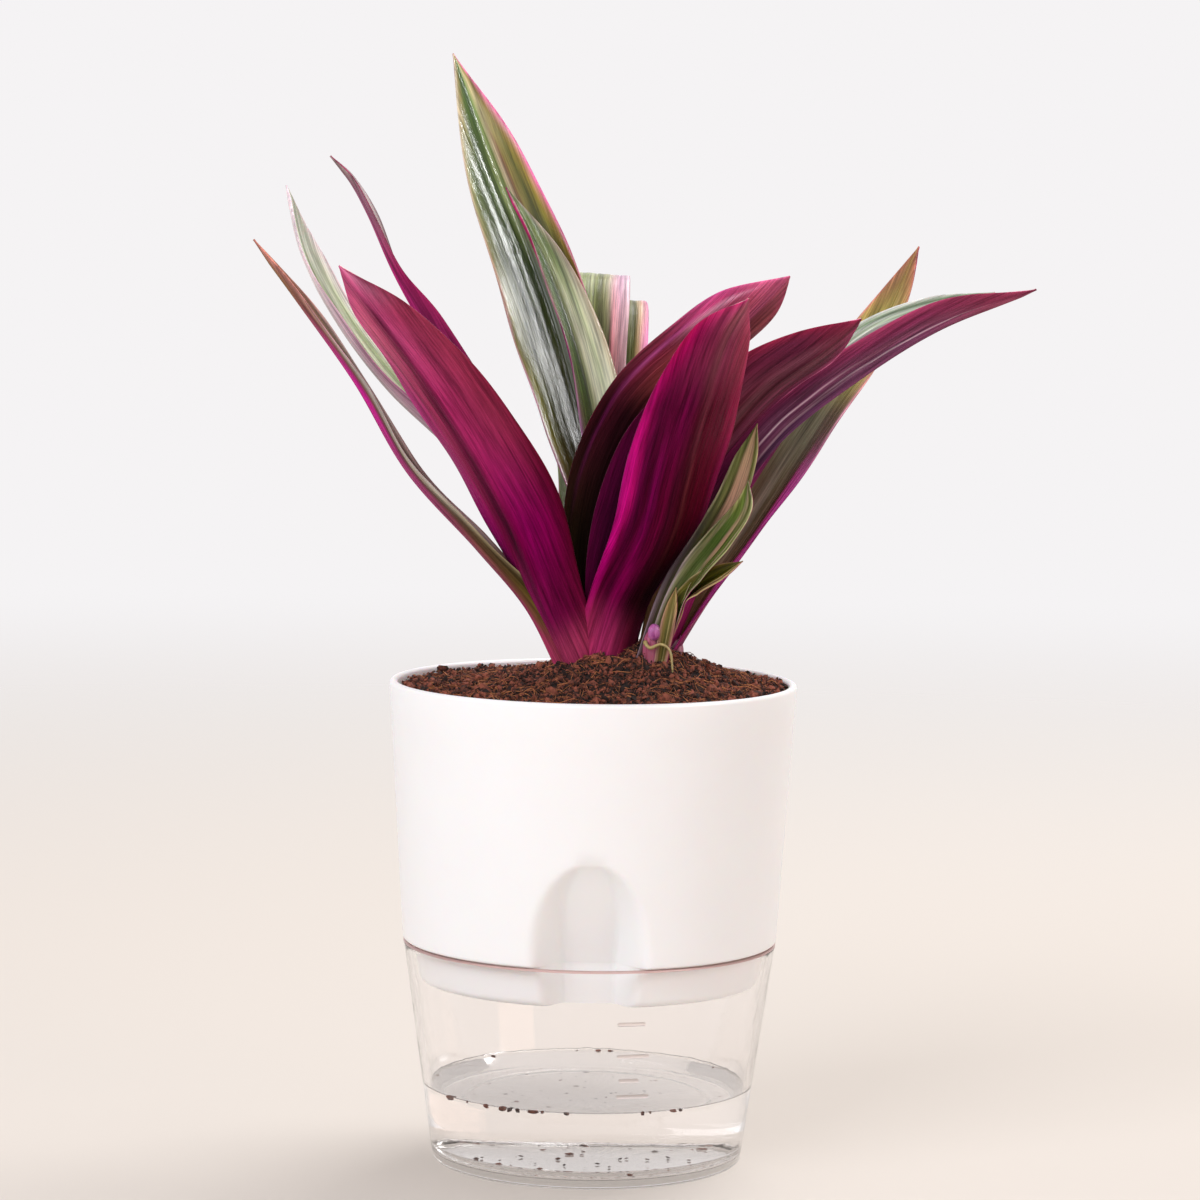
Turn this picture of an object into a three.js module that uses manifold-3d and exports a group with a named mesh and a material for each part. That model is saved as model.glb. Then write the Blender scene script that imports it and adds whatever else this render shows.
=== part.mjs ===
// A tricolour oyster plant (a dwarf tradescantia) in a self-watering pot: a white inner
// pot hangs in a clear reservoir cup, and soil, two leaf rosettes and a small plantlet fill it.
// Millimetres, +Z up. The origin is the centre of the cup's underside and -Y is the front.
import * as THREE from 'three';
import { mergeVertices } from 'three/addons/utils/BufferGeometryUtils.js';
import Module from 'manifold-3d';

const wasm = await Module();
wasm.setup();

// ---- driving dimensions ----
const GAP = 0.3; // clearance between pieces that touch
const AROUND = 44; // facets round the pot and the cup
const BEYOND = 400; // further than any piece reaches

const POT_RIM_Z = 118.8; // height of the whole pot
const POT_RIM_R = 50; // 100 mm across the rim
const POT_WALL = 2.1;
const LIP_ROUND = 0.7; // rounding of the pot's upper edge
const POT_FLARE = 0.062; // growth of the radius per mm of height above the step
const STEP_Z = 54.9; // underside of the step that stands on the cup's rim
const NECK_CLEAR = 0.5; // round the neck that hangs inside the cup
const NECK_Z = 45; // underside of the pot's floor
const NECK_FLOOR = 2;
const CORNER = 2.5; // height of the neck's rounded lower corner
const FLOOR_R = 30; // flat middle of the pot's floor
const SLOT_COUNT = 8; // drain slots in the floor
const SLOT = [9, 3]; // length and width of a slot
const SLOT_R = 24; // middle of a slot from the axis

const CUP_RIM_Z = 54.6;
const CUP_RIM_R = 45.9;
const CUP_BASE_R = 38.1;
const CUP_FOOT_R = 36.6; // flat underside, inside the rounded corner
const CUP_WALL = 1.9;
const CUP_FLOOR = 2.5;
const CUP_ROUND = 0.4; // rounding of the cup's upper edge
const CUP_FILLET = [1.2, 1.5]; // width and height of its inner corner
const BEAD_R = 30; // low ring moulded on the cup's floor
const BEAD = [1.6, 0.8]; // its width and height
const LEVEL_BARS = [[10.5, 41.5, 7], [11, 33.5, 8], [10, 27.5, 5], [11, 23.5, 8]]; // x, z, length
const BAR = [1, 0.5]; // height and relief of a level bar
const WATER_Z = 19;

const SCOOP_TOP_Z = 80.5; // top of the arched watering scoop in the pot's front
const SCOOP_ARCH_Z = 58; // below this the scoop's sides are upright
const SCOOP_HALF_ANGLE = 0.325; // radians from its middle to its side
const SCOOP_DEPTH = 11.5; // how far the wall is set back at the cup's rim
const SCOOP_BOW = 0.8; // below 1, the recess deepens faster near its top
const SCOOP_FLAT = 0.5; // share of its half width that is fully set back
const SCOOP_STEPS = 12;

const SOIL_EDGE_Z = 116.8;
const SOIL_RINGS = 7;
const LUMPS = [0.5, 0.35]; // heights of two waves over the soil's surface
const MOUND = { x: 9, y: -1, height: 11, spread: 17 };

// Stems: profile of radius and height. Leaf bases below cut are one piece with their stem.
const STEM_A = { x: 1, y: 0, cut: 138, profile: [[4, 106], [6, 112], [6.5, 120], [6.5, 127], [4, 136]] };
const STEM_B = { x: 17, y: 3, cut: 138, profile: [[3, 110], [4.5, 116], [5, 126], [3, 134]] };
const STEM_C = { x: 14.5, y: -10.5, cut: 134, profile: [[1.5, 118], [2.4, 122], [2.7, 130], [1.5, 133]] };
const BUD = { x: 14.6, y: -14.5, z: 132.4, radius: 1.8 };
const STEM_SIDES = 16;
const ROOT_R = 0.55;
const ROOT = [[14.5, -10.5, 129], [12.4, -13.2, 129.8], [13.6, -15, 128.6], [16.2, -15.8, 129.6],
  [18.2, -16.2, 128.4], [19.2, -16.6, 122.8]];
const BLADE_MIDDLE = 1.5; // thickness along the midrib
const BLADE_EDGE = 0.75; // thickness at the margin
const BLADE_BASE = 2.4; // thickness of a fleshy leaf base
const COLUMNS = 5; // points across a blade
const STATIONS = 12; // rows of points along a blade
const SMALL_WIDTH = 12; // blades narrower than this have fewer rows and are thinner
const SMALL_STATIONS = 9;
const SMALL_THINNING = 0.6;
const MIDRIB_SOFTNESS = 0.3; // share of the half width over which the midrib's fold is rounded

// ---- colours ----
const WHITE = 0xf4efe9;
const CLEAR = 0xdfe2e4;
const WATER = 0xd9e2e2;
const SOIL = 0x3a211a;
const SHEATH = 0xb04a6c;
const PURPLE = 0x7d1f57;
const DARK = 0x3a1424;
const GREEN = 0x4c6138;
const PALE = 0xc3cbaa;
const PINK = 0xa3708a;

// ---- leaves: each row is x, y, z, blade width, and the compass angle that the upper face
// looks to; rows run from the base to the tip. fold is how steeply the two halves of the
// blade rise from the midrib, at the base and at the tip, in degrees. ----
const ROSETTE_A = {
  leaf_front: {
    colour: PURPLE, fold: [45, 15],
    rows: [[3.5, -7.5, 121, 22, 98], [8.5, -12, 138, 21.5, 100], [16, -21, 154.5, 26.5, 100],
      [20.5, -33, 174, 27, 100], [25, -43, 190.5, 23.5, 102], [29.5, -51, 205.5, 15, 105],
      [34.5, -56, 214.5, 0, 105]],
  },
  leaf_left_broad: {
    colour: PURPLE, fold: [45, 12],
    rows: [[-4, -6.5, 121, 17, 75], [-12, -10, 139, 20, 80], [-20, -18, 159, 26, 80],
      [-31.5, -27, 179.5, 25, 78], [-41.5, -35, 195, 22, 75], [-52, -43, 209, 14.5, 75],
      [-60.5, -50, 220.5, 0, 75]],
  },
  leaf_tall: {
    colour: GREEN, fold: [45, 18],
    rows: [[0, 3, 126, 13, -60], [2, 9, 157, 21, -85], [-3.5, 15, 180, 24, -100],
      [-10.5, 21, 204, 24.5, -112], [-19, 27, 226.5, 21, -116], [-28, 31, 248, 15, -114],
      [-37.5, 34, 272, 0, -100]],
  },
  leaf_right_dark: {
    colour: DARK, fold: [45, 15],
    rows: [[3, -1, 128, 12, 155], [1, -2, 148, 18, 145], [4, -3, 168, 22, 130],
      [13, -6, 186.5, 23.5, 118], [26, -10, 199, 24, 110], [36.5, -14, 209.5, 19.5, 104],
      [45.5, -18, 219, 0, 100]],
  },
  leaf_right_low: {
    colour: PURPLE, fold: [45, 12],
    rows: [[6, -3, 127, 12, 130], [11, -8, 145, 18, 120], [19, -13, 162, 22, 112],
      [29, -18, 178.5, 23.5, 108], [40.5, -23, 192, 22.5, 106], [52, -28, 201, 16, 105],
      [62, -32, 209.5, 0, 105]],
  },
  leaf_tall_inner: {
    colour: GREEN, fold: [45, 30],
    rows: [[2, 2, 128, 12, -60], [1, 5, 160, 17, -60], [-1, 8, 180, 17, -60],
      [-6.5, 12, 202, 15.5, -55], [-14.5, 17, 222, 10.5, -50], [-23.5, 21, 239, 0, -45]],
  },
  leaf_inner_dark: {
    colour: DARK, fold: [45, 15],
    rows: [[4, -4, 126, 12, 130], [6, -8, 145, 17, 125], [10, -12, 162, 20, 122],
      [15, -17, 178, 18, 120], [21, -21, 190, 12, 118], [26, -24, 199, 0, 118]],
  },
  leaf_back_arched: {
    colour: GREEN, fold: [35, -12],
    rows: [[1, 4, 128, 12, -90], [-1, 10, 157, 16, -90], [-2, 18, 180, 18, -90],
      [-1.5, 28, 203, 18, -90], [-1, 42, 216, 17.5, -90], [0, 58, 215, 14, -90],
      [1, 74, 203, 0, -90]],
  },
  leaf_back_outer: {
    colour: GREEN, fold: [35, -12],
    rows: [[4, 6, 128, 10, -90], [4, 15, 157, 13, -92], [5, 25, 181, 14, -94],
      [5.5, 37, 200, 14, -95], [6, 52, 210, 12, -95], [6.5, 68, 205, 0, -95]],
  },
  leaf_left_pale: {
    colour: PALE, fold: [45, 20],
    rows: [[-4, 1, 126, 10, -20], [-17, 6, 150, 13, -20], [-34, 13, 172.5, 14.5, -20],
      [-52, 20, 189, 14.5, -20], [-65, 27, 205, 14, -20], [-74, 32, 221, 11.5, -20],
      [-79, 36, 238.5, 0, -20]],
  },
  leaf_left_thin: {
    colour: PURPLE, fold: [45, 25],
    rows: [[-4, 3, 126, 9, 0], [-15, 7, 160, 12, 20], [-31, 10, 186, 12, 40],
      [-43, 12, 205, 10, 50], [-50.5, 14, 218, 5, 20], [-57, 16, 232, 5, -10],
      [-62, 18, 240.5, 3.5, -10], [-67, 19, 246, 0, -10]],
  },
  leaf_left_low: {
    colour: PINK, fold: [40, 30],
    rows: [[-7.5, -3, 121, 13, 35], [-16, -4, 137, 12.5, 15], [-28.5, -6, 151.5, 10.5, 0],
      [-45.5, -7, 170, 8.5, -5], [-58.5, -7, 191.5, 7, -5], [-72, -6, 210, 6.5, -10],
      [-84, -4, 225.5, 0, -10]],
  },
  leaf_back_low: {
    colour: PINK, fold: [45, 15],
    rows: [[-1, 5, 127, 12, -80], [-3, 14, 149, 15, -85], [-3.5, 27, 168, 15, -90],
      [-6, 41, 184, 12, -90], [-6, 54, 193, 0, -90]],
  },
};

const ROSETTE_B = {
  leaf_side_long: {
    colour: PURPLE, fold: [50, 30],
    rows: [[15.5, 1, 121, 13, 170], [22, -2, 142, 17.5, 165], [31.5, -5, 161, 20, 160],
      [44, -8, 179, 21, 155], [62, -10, 194, 19, 150], [82, -11, 207, 15, 145],
      [105.5, -9, 216.5, 0, 140]],
  },
  leaf_side_back: {
    colour: GREEN, fold: [45, 15],
    rows: [[16, 4, 120, 16, -125], [26.5, 9, 138, 19, -124], [36, 16, 152, 21.5, -121],
      [47, 23, 169, 21.5, -118], [58.5, 32, 186, 18.5, -116], [72.5, 41, 207, 12.5, -115],
      [81, 48, 225.5, 0, -115]],
  },
  leaf_side_pale: {
    colour: PALE, fold: [45, 20],
    rows: [[17, 2, 122, 12, -150], [28, 1, 150, 14, -150], [39, 0, 170, 15, -145],
      [52.5, -1, 190, 14, -140], [66.5, -2, 203.5, 12, -135], [82, -3, 210.5, 9, -130],
      [96, -4, 215.5, 0, -130]],
  },
};

const PLANTLET = {
  leaf_small_tall: {
    colour: PALE, fold: [45, 20],
    rows: [[12.5, -9, 121, 9, -80], [20.5, -11, 142, 9.5, -92], [27, -13.5, 153, 9.5, -100],
      [33, -15, 164, 9, -100], [36.5, -16, 175, 6.5, -100], [38.5, -16, 183.5, 0, -100]],
  },
  leaf_small_striped: {
    colour: GREEN, fold: [45, 20],
    rows: [[14.5, -10, 123, 7, -85], [20.5, -13, 139, 8, -95], [25.5, -17, 147.5, 10, -100],
      [31, -20, 155, 9.5, -105], [35.5, -21, 162.5, 6.5, -110], [36.5, -20, 170, 0, -110]],
  },
  leaf_small_side: {
    colour: GREEN, fold: [45, 20],
    rows: [[15.5, -11, 125, 5, -85], [21, -14, 139, 5.5, -80], [25, -17, 143.5, 6.5, -70],
      [30, -19, 147, 5.5, -70], [35.5, -20, 150.5, 0, -70]],
  },
  leaf_small_tip: {
    colour: PALE, fold: [45, 20],
    rows: [[16.5, -12.5, 125, 4.5, -90], [17.8, -14.5, 133.5, 4.5, -90],
      [18.8, -15.5, 139, 3, -90], [19.6, -16, 143.5, 0, -90]],
  },
};

// ---- solids ----
function solidOf(geometry) {
  const plain = geometry.clone();
  plain.deleteAttribute('normal');
  plain.deleteAttribute('uv');
  const merged = mergeVertices(plain, 1e-4);
  return new wasm.Manifold(new wasm.Mesh({
    numProp: 3,
    vertProperties: new Float32Array(merged.attributes.position.array),
    triVerts: new Uint32Array(merged.index.array),
  }));
}

function geometryOf(solid) {
  const mesh = solid.getMesh();
  const geometry = new THREE.BufferGeometry();
  geometry.setAttribute('position', new THREE.BufferAttribute(mesh.vertProperties, 3));
  geometry.setIndex(new THREE.BufferAttribute(mesh.triVerts, 1));
  geometry.computeVertexNormals();
  return geometry;
}

function largestBody(solid) {
  return solid.decompose().reduce((a, b) => (b.volume() > a.volume() ? b : a));
}

const group = new THREE.Group();

function addPiece(name, solid, colour, roughness = 0.4) {
  const material = new THREE.MeshStandardMaterial({ color: colour, roughness, metalness: 0 });
  const mesh = new THREE.Mesh(geometryOf(solid), material);
  mesh.name = name;
  group.add(mesh);
}

// A closed surface of quads: rings of equal length, each joined to the next one. The quads
// are split alike whether the rings climb or descend, so nested walls keep their clearance.
function closedRings(rings) {
  const count = rings[0].length;
  const points = rings.flat().flatMap((p) => [p.x, p.y, p.z]);
  const faces = [];
  for (let i = 0; i + 1 < rings.length; i += 1) {
    for (let k = 0; k < count; k += 1) {
      const a = i * count + k;
      const b = i * count + (k + 1) % count;
      if (rings[i + 1][k].z > rings[i][k].z) faces.push(a, b, b + count, a, b + count, a + count);
      else faces.push(a, b, a + count, b, b + count, a + count);
    }
  }
  const geometry = new THREE.BufferGeometry();
  geometry.setAttribute('position', new THREE.Float32BufferAttribute(points, 3));
  geometry.setIndex(faces);
  return geometry;
}

// ---- pot, cup, water and soil ----
const cupOuter = (z) => CUP_BASE_R + (CUP_RIM_R - CUP_BASE_R) * z / CUP_RIM_Z;
const cupInner = (z) => cupOuter(z) - CUP_WALL;
const neckRadius = (z) => cupInner(z) - NECK_CLEAR;
const potRadius = (z) => POT_RIM_R - (POT_RIM_Z - z) * POT_FLARE;
const smooth = (low, high, x) => THREE.MathUtils.smoothstep(x, low, high);

// How far the watering scoop sets the wall back at an angle from the front and a height.
function scoopDepth(angle, z) {
  const rise = Math.max(0, z - SCOOP_ARCH_Z) / (SCOOP_TOP_Z - SCOOP_ARCH_Z);
  if (rise >= 1) return 0;
  const side = Math.abs(angle) / (SCOOP_HALF_ANGLE * Math.sqrt(1 - rise * rise));
  const slope = Math.min(1, (SCOOP_TOP_Z - z) / (SCOOP_TOP_Z - CUP_RIM_Z));
  return SCOOP_DEPTH * Math.pow(slope, SCOOP_BOW) * (1 - smooth(SCOOP_FLAT, 1, side));
}

// Angles from the front: close together across the scoop, wide apart elsewhere.
const angles = [];
for (let i = 0; i < SCOOP_STEPS; i += 1) {
  angles.push(SCOOP_HALF_ANGLE * (2 * i / SCOOP_STEPS - 1));
}
for (let i = 0; i < AROUND - SCOOP_STEPS; i += 1) {
  angles.push(SCOOP_HALF_ANGLE + (2 * Math.PI - 2 * SCOOP_HALF_ANGLE) * i / (AROUND - SCOOP_STEPS));
}

// A turned solid whose wall follows the scoop. profile is [radius, z, inset], where inset is
// how far the point's wall lies inside the pot's outer face, or null where nothing is set back.
function turned(profile) {
  const rings = profile.map(([radius, z, inset]) => angles.map((angle) => {
    const fromFront = angle > Math.PI ? angle - 2 * Math.PI : angle;
    const limit = inset === null ? radius : potRadius(z) - inset - scoopDepth(fromFront, z);
    const r = Math.min(radius, limit);
    return new THREE.Vector3(r * Math.sin(angle), -r * Math.cos(angle), z);
  }));
  return solidOf(closedRings(rings));
}

const floorTop = NECK_Z + NECK_FLOOR;
const shellFoot = STEP_Z + NECK_FLOOR;
const wallHeights = [STEP_Z, 58, 64, 70, 75.5, SCOOP_TOP_Z];

function makePot() {
  const inner = (z) => neckRadius(z) - POT_WALL;
  const profile = [
    [0, NECK_Z, null],
    [FLOOR_R, NECK_Z, null],
    [neckRadius(NECK_Z) - CORNER / 2, NECK_Z, 0],
    [neckRadius(NECK_Z + CORNER), NECK_Z + CORNER, 0],
    [neckRadius(STEP_Z), STEP_Z - 0.02, 0],
    ...wallHeights.map((z) => [potRadius(z), z, 0]),
    [POT_RIM_R, POT_RIM_Z - LIP_ROUND, null],
    [POT_RIM_R - POT_WALL / 2, POT_RIM_Z, null],
    [POT_RIM_R - POT_WALL, POT_RIM_Z - LIP_ROUND, null],
    ...wallHeights.slice(1).reverse().map((z) => [potRadius(z) - POT_WALL, z, POT_WALL]),
    [inner(shellFoot), shellFoot, POT_WALL],
    [inner(NECK_Z + CORNER), NECK_Z + CORNER, POT_WALL],
    [inner(floorTop) - CORNER / 2, floorTop, POT_WALL],
    [FLOOR_R - POT_WALL, floorTop, null],
    [0, floorTop, null],
  ];
  let pot = turned(profile);
  for (let i = 0; i < SLOT_COUNT; i += 1) {
    const slot = new THREE.BoxGeometry(SLOT[0], SLOT[1], 3 * NECK_FLOOR);
    slot.translate(SLOT_R, 0, NECK_Z + NECK_FLOOR / 2);
    slot.rotateZ((i + 0.5) * 2 * Math.PI / SLOT_COUNT);
    pot = pot.subtract(solidOf(slot));
  }
  return pot;
}

function lathe(points, facets = AROUND) {
  const geometry = new THREE.LatheGeometry(points.map(([r, z]) => new THREE.Vector2(r, z)), facets);
  geometry.rotateX(Math.PI / 2);
  return solidOf(geometry);
}

const filletTop = CUP_FLOOR + CUP_FILLET[1];

function makeCup() {
  let cup = lathe([
    [0, 0], [CUP_FOOT_R, 0], [cupOuter(0.6) - 0.3, 0.6], [cupOuter(2), 2],
    [cupOuter(CUP_RIM_Z - CUP_ROUND), CUP_RIM_Z - CUP_ROUND], [CUP_RIM_R - CUP_ROUND, CUP_RIM_Z],
    [cupInner(CUP_RIM_Z), CUP_RIM_Z], [cupInner(filletTop), filletTop],
    [cupInner(CUP_FLOOR) - CUP_FILLET[0], CUP_FLOOR], [BEAD_R + BEAD[0] / 2, CUP_FLOOR],
    [BEAD_R, CUP_FLOOR + BEAD[1]], [BEAD_R - BEAD[0] / 2, CUP_FLOOR], [0, CUP_FLOOR],
  ]);
  for (const [x, z, length] of LEVEL_BARS) {
    const bar = new THREE.BoxGeometry(length, 2 * BAR[1], BAR[0]);
    const turn = Math.asin(x / cupOuter(z));
    bar.translate(0, -cupOuter(z) * Math.cos(Math.PI / AROUND), z);
    bar.rotateZ(turn);
    cup = cup.add(solidOf(bar));
  }
  return cup;
}

function makeWater() {
  const floor = CUP_FLOOR + GAP;
  return lathe([
    [0, floor], [BEAD_R - BEAD[0] / 2 - GAP, floor], [BEAD_R, floor + BEAD[1] + GAP / 2],
    [BEAD_R + BEAD[0] / 2 + GAP, floor],
    [cupInner(CUP_FLOOR) - CUP_FILLET[0] - GAP, floor],
    [cupInner(filletTop) - GAP, filletTop + GAP],
    [cupInner(WATER_Z) - GAP, WATER_Z], [0, WATER_Z],
  ]);
}

// Height of the loose, lumpy soil: level at the wall and heaped round the plants.
function soilHeight(x, y) {
  const dx = x - MOUND.x;
  const dy = y - MOUND.y;
  const heap = MOUND.height * Math.exp(-(dx * dx + dy * dy) / (2 * MOUND.spread * MOUND.spread));
  const broad = LUMPS[0] * Math.sin(x * 0.55 + 1) * Math.cos(y * 0.6);
  const slanted = LUMPS[1] * Math.sin(x * 0.9 - y * 0.8);
  return SOIL_EDGE_Z + heap + broad + slanted;
}

function makeSoil() {
  const inset = POT_WALL + GAP;
  const inner = (z) => neckRadius(z) - inset;
  const topRadius = potRadius(SOIL_EDGE_Z) - inset;
  const profile = [
    [0, floorTop + GAP, null],
    [FLOOR_R - inset, floorTop + GAP, null],
    [inner(floorTop) - CORNER / 2, floorTop + GAP, inset],
    [inner(NECK_Z + CORNER), NECK_Z + CORNER + GAP, inset],
    [inner(shellFoot), shellFoot + GAP, inset],
    ...wallHeights.slice(1).map((z) => [potRadius(z) - inset, z, inset]),
  ];
  for (let i = 0; i <= SOIL_RINGS; i += 1) {
    profile.push([topRadius * (1 - i / SOIL_RINGS), SOIL_EDGE_Z, null]);
  }
  return turned(profile).warp((point) => {
    if (point[2] > SOIL_EDGE_Z - 0.01) point[2] = soilHeight(point[0], point[1]);
  });
}

// ---- leaves ----
const valueAt = (values, t) => {
  const line = new THREE.CatmullRomCurve3(
    values.map((value, i) => new THREE.Vector3(i, value, 0)), false, 'catmullrom', 0.5,
  );
  return line.getPoint(t).y;
};

// One blade as a closed solid. grow thickens it all round, to cut clearance for its neighbours.
function makeLeaf(leaf, grow = 0) {
  const widths = leaf.rows.map((row) => row[3]);
  const facings = leaf.rows.map((row) => row[4]);
  const small = Math.max(...widths) < SMALL_WIDTH;
  const stations = small ? SMALL_STATIONS : STATIONS;
  const curve = new THREE.CatmullRomCurve3(leaf.rows.map((row) => new THREE.Vector3(...row)));
  const rings = [];
  for (let j = 0; j < stations; j += 1) {
    const t = j / (stations - 1);
    rings.push(bladeSection({
      middle: curve.getPoint(t),
      along: curve.getPoint(Math.min(1, t + 0.01)).sub(curve.getPoint(Math.max(0, t - 0.01))),
      facing: THREE.MathUtils.degToRad(valueAt(facings, t)),
      half: Math.max(valueAt(widths, t) / 2, 0.5) + grow,
      fold: THREE.MathUtils.degToRad(THREE.MathUtils.lerp(leaf.fold[0], leaf.fold[1], t)),
      thickness: THREE.MathUtils.lerp(BLADE_BASE, BLADE_MIDDLE, Math.min(1, 3 * t)),
      thinning: small ? SMALL_THINNING : 1,
      grow,
    }));
  }
  return solidOf(cappedStrip(rings));
}

// The outline of a blade where it is cut across: its upper face, then its lower face.
function bladeSection({ middle, along, facing, half, fold, thickness, thinning, grow }) {
  along.normalize();
  const up = new THREE.Vector3(Math.cos(facing), Math.sin(facing), 1);
  up.addScaledVector(along, -up.dot(along)).normalize();
  const side = new THREE.Vector3().crossVectors(along, up);
  const height = Math.hypot(1, MIDRIB_SOFTNESS) - MIDRIB_SOFTNESS;
  const upper = [];
  const lower = [];
  for (let k = 0; k < COLUMNS; k += 1) {
    const across = 2 * k / (COLUMNS - 1) - 1;
    const soft = Math.hypot(across, MIDRIB_SOFTNESS);
    const rise = (soft - MIDRIB_SOFTNESS) / height;
    const slope = across / soft / height;
    const normal = up.clone().multiplyScalar(Math.cos(fold));
    normal.addScaledVector(side, -slope * Math.sin(fold)).normalize();
    const centre = middle.clone();
    centre.addScaledVector(side, across * half * Math.cos(fold));
    centre.addScaledVector(up, rise * half * Math.sin(fold));
    const towardsEdge = Math.abs(across) * Math.min(1, half / 4);
    const thick = thinning * THREE.MathUtils.lerp(thickness, BLADE_EDGE, towardsEdge);
    const offset = Math.max(thick, BLADE_EDGE) / 2 + grow;
    upper.push(centre.clone().addScaledVector(normal, offset));
    lower.unshift(centre.clone().addScaledVector(normal, -offset));
  }
  return [...upper, ...lower];
}

// Two faces of quads joined along their margins and closed at both ends.
function cappedStrip(rings) {
  const count = 2 * COLUMNS;
  const geometry = closedRings(rings);
  const faces = Array.from(geometry.index.array);
  const last = (rings.length - 1) * count;
  for (let k = 0; k + 1 < COLUMNS; k += 1) {
    const far = count - 1 - k;
    faces.push(k, far, k + 1, k + 1, far, far - 1);
    faces.push(last + k, last + k + 1, last + far, last + k + 1, last + far - 1, last + far);
  }
  geometry.setIndex(faces);
  return geometry;
}

function slab(lowest, highest) {
  const box = new THREE.BoxGeometry(BEYOND, BEYOND, highest - lowest);
  box.translate(0, 0, (lowest + highest) / 2);
  return solidOf(box);
}

function makeStem(stem, grow = 0) {
  const last = stem.profile.length - 1;
  const points = stem.profile.map(([r, z], i) => {
    const end = (i === 0 ? -grow : 0) + (i === last ? grow : 0);
    return [r + grow, z + end];
  });
  const [lowest, highest] = [points[0][1], points[last][1]];
  return lathe([[0, lowest], ...points, [0, highest]], STEM_SIDES).translate([stem.x, stem.y, 0]);
}

// A stem with the clasping bases of its leaves, all one growth.
function makeCrown(stem, leaves, grow = 0) {
  const below = slab(0, stem.cut + grow);
  return Object.values(leaves).reduce(
    (crown, leaf) => crown.add(makeLeaf(leaf, grow).intersect(below)),
    makeStem(stem, grow),
  );
}

function makeRoot(grow = 0) {
  const path = new THREE.CatmullRomCurve3(ROOT.map((point) => new THREE.Vector3(...point)));
  const outline = new THREE.Shape();
  outline.absarc(0, 0, ROOT_R + grow, 0, 2 * Math.PI);
  return solidOf(new THREE.ExtrudeGeometry(outline, {
    steps: 14, curveSegments: 3, bevelEnabled: false, extrudePath: path,
  }));
}

// Later pieces are cut clear of the ones already placed, and keep their largest part.
const placed = [];

function clearOfOthers(solid) {
  return largestBody(placed.reduce((rest, other) => rest.subtract(other), solid));
}

function placeCrown(name, stem, leaves, extra) {
  const shape = (grow) => {
    const crown = makeCrown(stem, leaves, grow);
    return extra ? crown.add(extra(grow)) : crown;
  };
  addPiece(name, clearOfOthers(shape(0)), SHEATH);
  placed.push(shape(GAP));
}

function placeLeaf(name, leaf, stem) {
  const upper = makeLeaf(leaf).intersect(slab(stem.cut + GAP, BEYOND));
  addPiece(name, clearOfOthers(upper), leaf.colour);
  placed.push(makeLeaf(leaf, GAP).intersect(slab(stem.cut, BEYOND)));
}

placeCrown('crown_a', STEM_A, ROSETTE_A);
placeCrown('crown_c', STEM_C, PLANTLET, makeRoot);
placeCrown('crown_b', STEM_B, ROSETTE_B);
const crowns = placed.slice();

const bud = new THREE.SphereGeometry(BUD.radius, 8, 6);
bud.scale(0.9, 0.9, 1.15);
bud.translate(BUD.x, BUD.y, BUD.z);
addPiece('bud', clearOfOthers(solidOf(bud)), SHEATH);

const soil = crowns.reduce((rest, crown) => rest.subtract(crown), makeSoil());
addPiece('soil', largestBody(soil), SOIL, 1);

for (const [name, leaf] of Object.entries(PLANTLET)) placeLeaf(name, leaf, STEM_C);
for (const [name, leaf] of Object.entries(ROSETTE_A)) placeLeaf(name, leaf, STEM_A);
for (const [name, leaf] of Object.entries(ROSETTE_B)) placeLeaf(name, leaf, STEM_B);

addPiece('inner_pot', makePot(), WHITE, 0.45);
addPiece('reservoir_cup', makeCup(), CLEAR, 0.1);
addPiece('water', makeWater(), WATER, 0.05);

export default group;
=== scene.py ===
"""A potted tricolour tradescantia: its looks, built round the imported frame, in millimetres."""

import math

import bmesh
import bpy
import numpy as np
from mathutils import Matrix, Vector


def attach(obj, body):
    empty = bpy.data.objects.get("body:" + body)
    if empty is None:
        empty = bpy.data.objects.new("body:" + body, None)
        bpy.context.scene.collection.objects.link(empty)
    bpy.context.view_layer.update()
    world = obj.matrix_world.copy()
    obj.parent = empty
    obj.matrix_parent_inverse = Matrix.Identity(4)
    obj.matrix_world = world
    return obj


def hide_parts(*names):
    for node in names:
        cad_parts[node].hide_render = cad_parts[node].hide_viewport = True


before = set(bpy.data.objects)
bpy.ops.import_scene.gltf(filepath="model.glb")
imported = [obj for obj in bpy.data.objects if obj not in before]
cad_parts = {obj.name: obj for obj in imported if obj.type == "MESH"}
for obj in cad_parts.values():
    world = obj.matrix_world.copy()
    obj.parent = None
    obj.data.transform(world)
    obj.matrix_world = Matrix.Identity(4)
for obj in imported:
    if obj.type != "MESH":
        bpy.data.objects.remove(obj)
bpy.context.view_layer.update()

MM = 0.001  # Blender works in metres

# ---- pot, cup, water and soil, as in the CAD part ----
POT_RIM_Z, POT_RIM_R, POT_WALL, POT_FLARE = 118.8, 50.0, 2.1, 0.062
STEP_Z, NECK_CLEAR, NECK_Z, NECK_FLOOR, CORNER = 54.9, 0.5, 45.0, 2.0, 2.5
SLOT_COUNT, SLOT, SLOT_R = 8, (9.0, 3.0), 24.0
CUP_RIM_Z, CUP_RIM_R, CUP_BASE_R, CUP_WALL, CUP_FLOOR = 54.6, 45.9, 38.1, 1.9, 2.5
BEAD_R, BEAD = 30.0, (1.6, 0.8)
LEVEL_BARS = ((10.5, 41.5, 7), (11, 33.5, 8), (10, 27.5, 5), (11, 23.5, 8))  # x, z, length
WATER_Z = 19.0
SCOOP_TOP_Z, SCOOP_ARCH_Z, SCOOP_HALF_ANGLE, SCOOP_DEPTH = 80.5, 58.0, 0.325, 11.5
SCOOP_BOW, SCOOP_FLAT = 0.8, 0.5
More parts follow.
